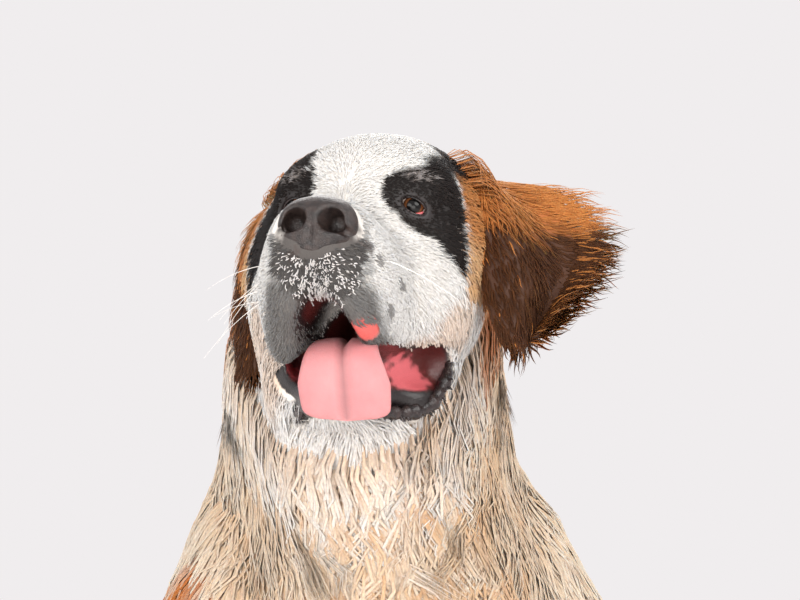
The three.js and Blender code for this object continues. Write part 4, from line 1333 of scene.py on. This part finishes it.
def tangent(way, normal):
    return unit(way - normal * (way * normal).sum(-1, keepdims=True))


def grow(
    roots, normals, length, lift, stations,
    wave=0.0, pitch=50.0, clump=None, hang=0.0, sink=1.5, stray=0.10, sweep=0.0,
):
    """Paths along the skin: each point is pushed out to its height over the skin."""
    count = len(roots)
    outward = np.sign(into_head(roots)[:, :1]) * LEFT
    lie = tangent(lie_of(roots) + outward * sweep, normals)
    lie = tangent(lie + rng.normal(0, stray, (count, 3)), normals)
    t = np.linspace(0, 1, stations)
    wave = wave(roots) if callable(wave) else np.full(count, wave)
    phase = rng.uniform(0, 6.3, count)
    bend = rng.normal(0, 0.12, count)
    if clump:
        tree = KDTree(clump["count"])
        guides = roots[rng.choice(count, clump["count"], replace=False)]
        for i, g in enumerate(guides):
            tree.insert(Vector(g), i)
        tree.balance()
        owner = np.array([tree.find(Vector(r))[1] for r in roots])
        guide_phase = rng.uniform(0, 6.3, clump["count"])
        guide_bend = rng.normal(0, 0.22, clump["count"])
        guide_wave = rng.uniform(0.6, 1.4, clump["count"])
        phase = guide_phase[owner] + rng.normal(0, 0.25, count)
        bend = guide_bend[owner] + rng.normal(0, 0.05, count)
        wave = wave * guide_wave[owner]
        toward = guides[owner] - roots
        toward = toward - normals * (toward * normals).sum(1, keepdims=True)
    side = np.cross(normals, lie)
    path = np.empty((count, stations, 3))
    path[:, 0] = roots - normals * sink
    for k in range(1, stations):
        reach = length * t[k]
        turn = phase + reach / pitch * 2 * math.pi
        sway = wave * np.sin(turn) * min(1, 2 * t[k]) + bend * length * t[k] ** 2
        way = unit(lie + vec(0, 0, -1) * hang * t[k])
        point = roots + way * reach[:, None] + side * sway[:, None]
        if clump:
            point = point + toward * (clump["pull"] * t[k] ** 1.3)
        height = lift * length * np.sin(np.pi * min(1, 0.15 + 0.75 * t[k])) + 0.6
        height = height + 0.35 * wave * np.cos(turn) * t[k]
        for _ in range(2):
            short = np.maximum(0, height - skin(point))
            point = point + gradient(skin, point, 4) * short[:, None]
        path[:, k] = point
    return path


def tint(colours, amount):
    """A little lighter or darker, strand by strand."""
    return colours * (1 + rng.normal(0, amount, (len(colours), 1)))


def coat_piece(
    name, source, count, weight, length, width, lift, stations,
    slot="coat_white", depth=0.5, vary=0.05, kept=0.7, paint=None, **more,
):
    """Strands rooted where weight says. depth is how far their roots darken to tan, as painted shade deep
    in the coat.
    """
    roots = scatter(*source, count, weight)
    normals = gradient(skin, roots, 2.5)
    size = length(roots) * rng.uniform(0.75, 1.2, count) * short_by_openings(roots)
    path = grow(roots, normals, size, lift, stations, **more)
    colours = tint(markings(roots) if paint is None else np.tile(paint, (count, 1)), vary)
    warm = rng.random((count, 1)) * 0.5 * depth
    colours = colours * (1 - warm) + colours * CREAM / WHITE * warm
    # Painted shade: each strand darkens to tan towards its root, where the coat lies in shade.
    base = colours * (1 - depth) + colours * TAN / WHITE * depth
    wide = width * rng.uniform(0.7, 1.25, count)
    return strands(name, roots, normals, path, wide, base, colours, kept=kept)


def short_by_openings(p):
    """Hair near a lid or a lip is short, so that none lies over the eye or the mouth."""
    q = into_head(p)
    made = np.ones(len(p))
    for s in (1, -1):
        n = from_eye(q, s)
        away = np.where(np.linalg.norm(n, axis=1) < 60, almond_at(n, s), 60)
        made = np.minimum(made, 0.26 + 0.74 * smooth(3, 20, away))
    by_mouth = 0.25 + 0.75 * smooth(4, 26, MOUTH(q))
    return np.where(np.linalg.norm(q, axis=1) < FACE_REACH, np.minimum(made, by_mouth), made)


SHARE = 1.0


def number(n):
    return int(n * SHARE)


HEAD_MESH = (head_points, head_quads)
BODY_MESH = (body_points, body_quads)


def furred(p):
    """1 where hair grows, 0 on the nose, lips and lids and in the mouth."""
    q = into_head(p)
    near_head = np.linalg.norm(q, axis=1) < FACE_REACH
    clear = smooth(3.5, 7.0, MOUTH(q)) * (NOSE_PAD(q) > 1.5)
    for s in (1, -1):
        n = from_eye(q, s)
        clear = clear * ((almond_at(n, s) > 1.8) | (np.linalg.norm(n, axis=1) > 30))
    clear = clear * (patch(q, SORE_AT, (11, 12, 8)) < 0) * ~lip_slope(q)
    clear[near_head] *= lip_distance(q[near_head]) > LIP_BARE
    return np.where(near_head, clear, 1.0)


def face_zone(p):
    q = into_head(p)
    return smooth(-50, -20, q[:, 1]) * smooth(-10, 10, in_head(p))


def head_length(p):
    q = into_head(p)
    grown = smooth(20, -90, q[:, 1])
    throat = smooth(-110, -150, q[:, 2])
    return 11 + 15 * grown + 12 * throat + 16 * smooth(-95, -135, q[:, 1])


for part, (low, high) in enumerate(((-400, 0), (0, 400))):
    coat_piece(
        f"coat_face_{part + 1}", HEAD_MESH, number(12500),
        lambda p: face_zone(p) * furred(p) * (into_head(p)[:, 0] > low) * (into_head(p)[:, 0] <= high),
        head_length, 1.5, 0.07, 3, depth=0.0, vary=0.03,
    )
coat_piece(
    "coat_skull", HEAD_MESH, number(9500), lambda p: (1 - face_zone(p)) * furred(p),
    head_length, 2.2, 0.10, 4, depth=0.15, vary=0.05, hang=0.15,
)


def crest_zone(p):
    q = into_head(p)
    side = smooth(42, 52, np.abs(q[:, 0])) * smooth(30, 44, q[:, 2]) * smooth(-42, -54, q[:, 1])
    nape = smooth(-120, -140, q[:, 1]) * smooth(-10, 20, q[:, 2]) * 0.35
    return np.maximum(side, nape)


coat_piece(
    "coat_crest", HEAD_MESH, number(2000), crest_zone,
    lambda p: 28 + 18 * (into_head(p)[:, 0] > 0), 2.0, 0.34, 6, "coat_orange",
    depth=0.2, vary=0.1,
    wave=3.0, pitch=44.0, clump={"count": 90, "pull": 0.5}, stray=0.25, kept=0.5, sweep=1.0,
    paint=CREST_ORANGE,
)


def speckle_zone(p):
    q = into_head(p)
    return patch(q, (8, 80, -88), (35, 36, 28)) * (NOSE_PAD(q) > 2.5) * (MOUTH(q) > 2.5)


# White hair tips stand out on the dark skin under the nose.
def speckles():
    roots = scatter(*HEAD_MESH, number(420), lambda p: np.maximum(speckle_zone(p), 0))
    normals = gradient(skin, roots, 2.5)
    path = grow(roots, normals, rng.uniform(2.0, 4.5, len(roots)), 0.5, 3, sink=0.2, stray=0.5)
    paint = np.tile(SPECKLE_WHITE, (len(roots), 1))
    wide = rng.uniform(0.9, 1.7, len(roots))
    strands("coat_speckles", roots, normals, path, wide, paint, paint)


speckles()


def ruff_zone(p):
    front = smooth(70, 10, p[:, 1]) * smooth(400, 450, p[:, 2])
    neck = smooth(620, 660, p[:, 2])
    return np.maximum(front, neck)


def curl(p):
    """The hair curls in the middle of the chest and lies smoother to its sides."""
    middle = smooth(120, 50, np.abs(p[:, 0] + 20)) * smooth(40, -40, p[:, 1])
    return 3.0 + 6.5 * middle


def chest_front(p):
    return ruff_zone(p) * smooth(60, -20, p[:, 1])


def ruff_length(p):
    return 62 + 34 * smooth(60, -60, p[:, 1])


# The ruff's roots darken strongly to tan: painted shade deep among its locks.
for part, (low, high) in enumerate(((400, 560), (560, 690), (690, 1000))):
    coat_piece(
        f"coat_ruff_{part + 1}", BODY_MESH, number(5600),
        lambda p: ruff_zone(p) * (p[:, 2] > low) * (p[:, 2] <= high) * (0.45 + chest_front(p)) * furred(p),
        ruff_length, 3.8, 0.10, 6, depth=0.75, stray=0.05, kept=0.88,
        wave=curl, pitch=48.0, clump={"count": 300, "pull": 0.45}, hang=0.45,
    )


TAIL_START = 480


def rest_zone(p):
    return (1 - ruff_zone(p)) * (p[:, 2] > 6)


def leg_like(p):
    shin = smooth(330, 250, p[:, 2]) * (p[:, 1] < 132)
    hock = smooth(120, 90, p[:, 2]) * (p[:, 1] < 470)
    return np.maximum(shin, hock)


def trunk_zone(p):
    return rest_zone(p) * (1 - leg_like(p)) * (p[:, 1] < TAIL_START)


def body_length(p):
    tip = smooth(170, 250, p[:, 0]) * (p[:, 1] > 600)
    return 50 - 34 * leg_like(p) + 22 * smooth(TAIL_START, 540, p[:, 1]) - 38 * tip


for name, count, clumps, lift, (low, high) in (
    ("coat_back", 6000, 420, 0.13, (300, 2000)),
    ("coat_haunch", 5000, 360, 0.12, (-100, 300)),
):
    coat_piece(
        name, BODY_MESH, number(count),
        lambda p: trunk_zone(p) * (p[:, 2] > low) * (p[:, 2] <= high),
        body_length, 4.6, lift, 5, "coat_orange",
        wave=3.0, pitch=60.0, clump={"count": number(clumps), "pull": 0.5}, hang=0.2,
    )
coat_piece(
    "coat_legs", BODY_MESH, number(8000), lambda p: rest_zone(p) * leg_like(p),
    body_length, 2.8, 0.10, 3,
)
coat_piece(
    "coat_tail", BODY_MESH, number(2200), lambda p: (p[:, 1] >= TAIL_START) * (p[:, 2] > 4) * 1.0,
    body_length, 4.4, 0.16, 6, "coat_orange",
    wave=4.0, pitch=60.0, clump={"count": number(160), "pull": 0.5},
)


def ear_coat(side):
    """Hair on an ear: short on the flap, long and blown on its back edge and root."""
    ear = EARS[side]
    sheet, normal = ear_sheet(ear)
    rows, columns = sheet.shape[:2]
    count = number(2900)
    t = rng.random(count) ** 0.9
    v = rng.random(count)
    fringe = rng.random(count) < 0.26
    v = np.where(fringe, 1 - 0.10 * rng.random(count), v)
    face = np.where(rng.random(count) < 0.5, 1.0, -1.0)
    i = np.minimum((t * (rows - 1)).astype(int), rows - 2)
    j = np.minimum((v * (columns - 1)).astype(int), columns - 2)
    fi = (t * (rows - 1) - i)[:, None]
    fj = (v * (columns - 1) - j)[:, None]

    def at(grid):
        low = grid[i, j] * (1 - fj) + grid[i, j + 1] * fj
        high = grid[i + 1, j] * (1 - fj) + grid[i + 1, j + 1] * fj
        return low * (1 - fi) + high * fi

    roots = at(sheet)
    out = unit(at(normal)) * face[:, None]
    down = unit(at(np.gradient(sheet, axis=0)))
    across = unit(at(np.gradient(sheet, axis=1)))
    blown = smooth(0.3, 1.0, v)[:, None]
    lie = down * (1.0 - 0.35 * blown) + across * (0.15 + 0.9 * blown)
    lie = tangent(unit(lie + rng.normal(0, 0.10, (count, 3))), out)
    high = smooth(0.55, 0.1, t)
    length = 15 + 8 * v + 16 * high + 14 * fringe * rng.uniform(0.4, 1.3, count)
    length = length * rng.uniform(0.75, 1.2, count)
    stations = 6
    path = np.empty((count, stations, 3))
    phase = rng.uniform(0, 6.3, count)
    across_lie = np.cross(out, lie)
    for k, step in enumerate(np.linspace(0, 1, stations)):
        sway = ((0.10 + 0.06 * high) * length * np.sin(phase + 4.5 * step) * step)[:, None] * across_lie
        rise = out * (ear["thick"] / 2 - 0.5 + length * 0.12 * np.sin(2.2 * step))[:, None]
        path[:, k] = roots + lie * (length * step)[:, None] + rise + sway
    world = from_head(path.reshape(-1, 3)).reshape(path.shape)
    root_world = from_head(roots)
    colours = tint(ear_colours(root_world), 0.12)
    glow = ((fringe & (t < 0.5)) | (rng.random(count) < 0.02 + 0.2 * fringe))[:, None] * 1.0
    colours = colours * (1 - 0.55 * glow) + ORANGE * 0.55 * glow
    tips = colours * (1 - 0.5 * glow) + ORANGE * 1.1 * 0.5 * glow
    wide = np.where(fringe, 2.0, 2.4) * rng.uniform(0.7, 1.2, count)
    normals = head_way(out)
    strands("coat_ear_" + side, root_world, normals, world, wide, colours, tips, kept=0.25)


ear_coat("left")
ear_coat("right")


def whiskers():
    """Seven on the far side of the muzzle and one on the near side."""
    parts = []
    for s, count in ((1, 1), (-1, 7)):
        for _ in range(count):
            root = vec(s * 45, 34 + rng.uniform(-26, 26), -78 + rng.uniform(-16, 16))
            way = unit(vec(s * 1.0, -0.25 + rng.normal(0, 0.2), -0.25 + rng.normal(0, 0.25)))
            t = np.linspace(0, 1, 10)[:, None]
            length = rng.uniform(45, 80)
            path = root + way * length * t + vec(0, -0.35, -0.35) * length * t**2 * 0.6
            parts.append(tube(from_head(path), 0.3 * (1 - t[:, 0]) + 0.08, 5))
    return joined(parts)


whisker_material = toned("whisker", 0.4, 60, 2, (0.3, 232, 226, 218), (0.7, 252, 249, 244))[0]
finish_piece(mesh_object("whiskers", *whiskers()), whisker_material)


# Floor, light and camera, in metres.
FLOOR_HALF = 6.0


def add_floor():
    mesh = bpy.data.meshes.new("floor")
    corners = [(x * FLOOR_HALF, y * FLOOR_HALF, 0) for x, y in ((-1, -1), (1, -1), (1, 1), (-1, 1))]
    mesh.from_pydata(corners, [], [(0, 1, 2, 3)])
    floor = bpy.data.objects.new("floor", mesh)
    bpy.context.scene.collection.objects.link(floor)
    mesh.materials.append(toned("floor_paper", 0.9, 3, 2, (0.3, 232, 229, 228), (0.7, 236, 233, 232))[0])


def add_light(name, place, size, power, tone):
    data = bpy.data.lights.new(name, "AREA")
    data.shape = "DISK"
    data.size = size
    data.energy = power
    data.color = tone
    light = bpy.data.objects.new(name, data)
    light.location = place
    light.rotation_euler = (Vector(AIM) - Vector(place)).to_track_quat("-Z", "Y").to_euler()
    bpy.context.scene.collection.objects.link(light)


add_floor()
world = bpy.data.worlds.new("studio")
world.use_nodes = True
world.node_tree.nodes["Background"].inputs["Color"].default_value = (*srgb(240, 237, 238), 1)
world.node_tree.nodes["Background"].inputs["Strength"].default_value = 1.0
bpy.context.scene.world = world
bpy.context.scene.view_settings.view_transform = "Standard"
AIM = (0.0, -0.1, 0.75)
LIGHTS = {
    "key": ((1.1, -2.4, 2.3), 2.2, 50, (1.0, 0.98, 0.95)),
    "fill": ((-2.0, -2.0, 1.2), 2.0, 34, (1.0, 0.98, 0.95)),
    "low": ((-0.5, -2.8, 0.45), 1.8, 26, (1.0, 0.96, 0.92)),
    "rim": ((0.6, 2.2, 2.4), 1.6, 38, (1.0, 0.98, 0.96)),
}
for name, (place, size, power, tone) in LIGHTS.items():
    add_light(name, place, size, power, tone)

# The camera looks level from the dog's right of straight ahead. Pixels are of the 800 by 600 image.
CAMERA_TURN = math.radians(-12)
CAMERA_AWAY = 3.0
FRAME_WIDE = 0.630
SENSOR = 36.0
PIXELS_ACROSS = 800
PIXELS_UP = 600
EYE_PIXEL = (413, 207)
right_way = vec(math.cos(CAMERA_TURN), math.sin(CAMERA_TURN), 0)
ahead_way = vec(-math.sin(CAMERA_TURN), math.cos(CAMERA_TURN), 0)
eye_place = (eye_centre(1) + SHIFT) * MM
pixel = FRAME_WIDE / PIXELS_ACROSS
middle = eye_place - right_way * (EYE_PIXEL[0] - PIXELS_ACROSS / 2) * pixel
middle = middle - vec(0, 0, 1) * (PIXELS_UP / 2 - EYE_PIXEL[1]) * pixel
camera_data = bpy.data.cameras.new("camera")
camera_data.sensor_width = SENSOR
camera_data.lens = SENSOR * CAMERA_AWAY / FRAME_WIDE
camera = bpy.data.objects.new("camera", camera_data)
camera.location = Vector(middle - ahead_way * CAMERA_AWAY)
camera.rotation_euler = Vector(ahead_way).to_track_quat("-Z", "Y").to_euler()
bpy.context.scene.collection.objects.link(camera)
bpy.context.scene.camera = camera
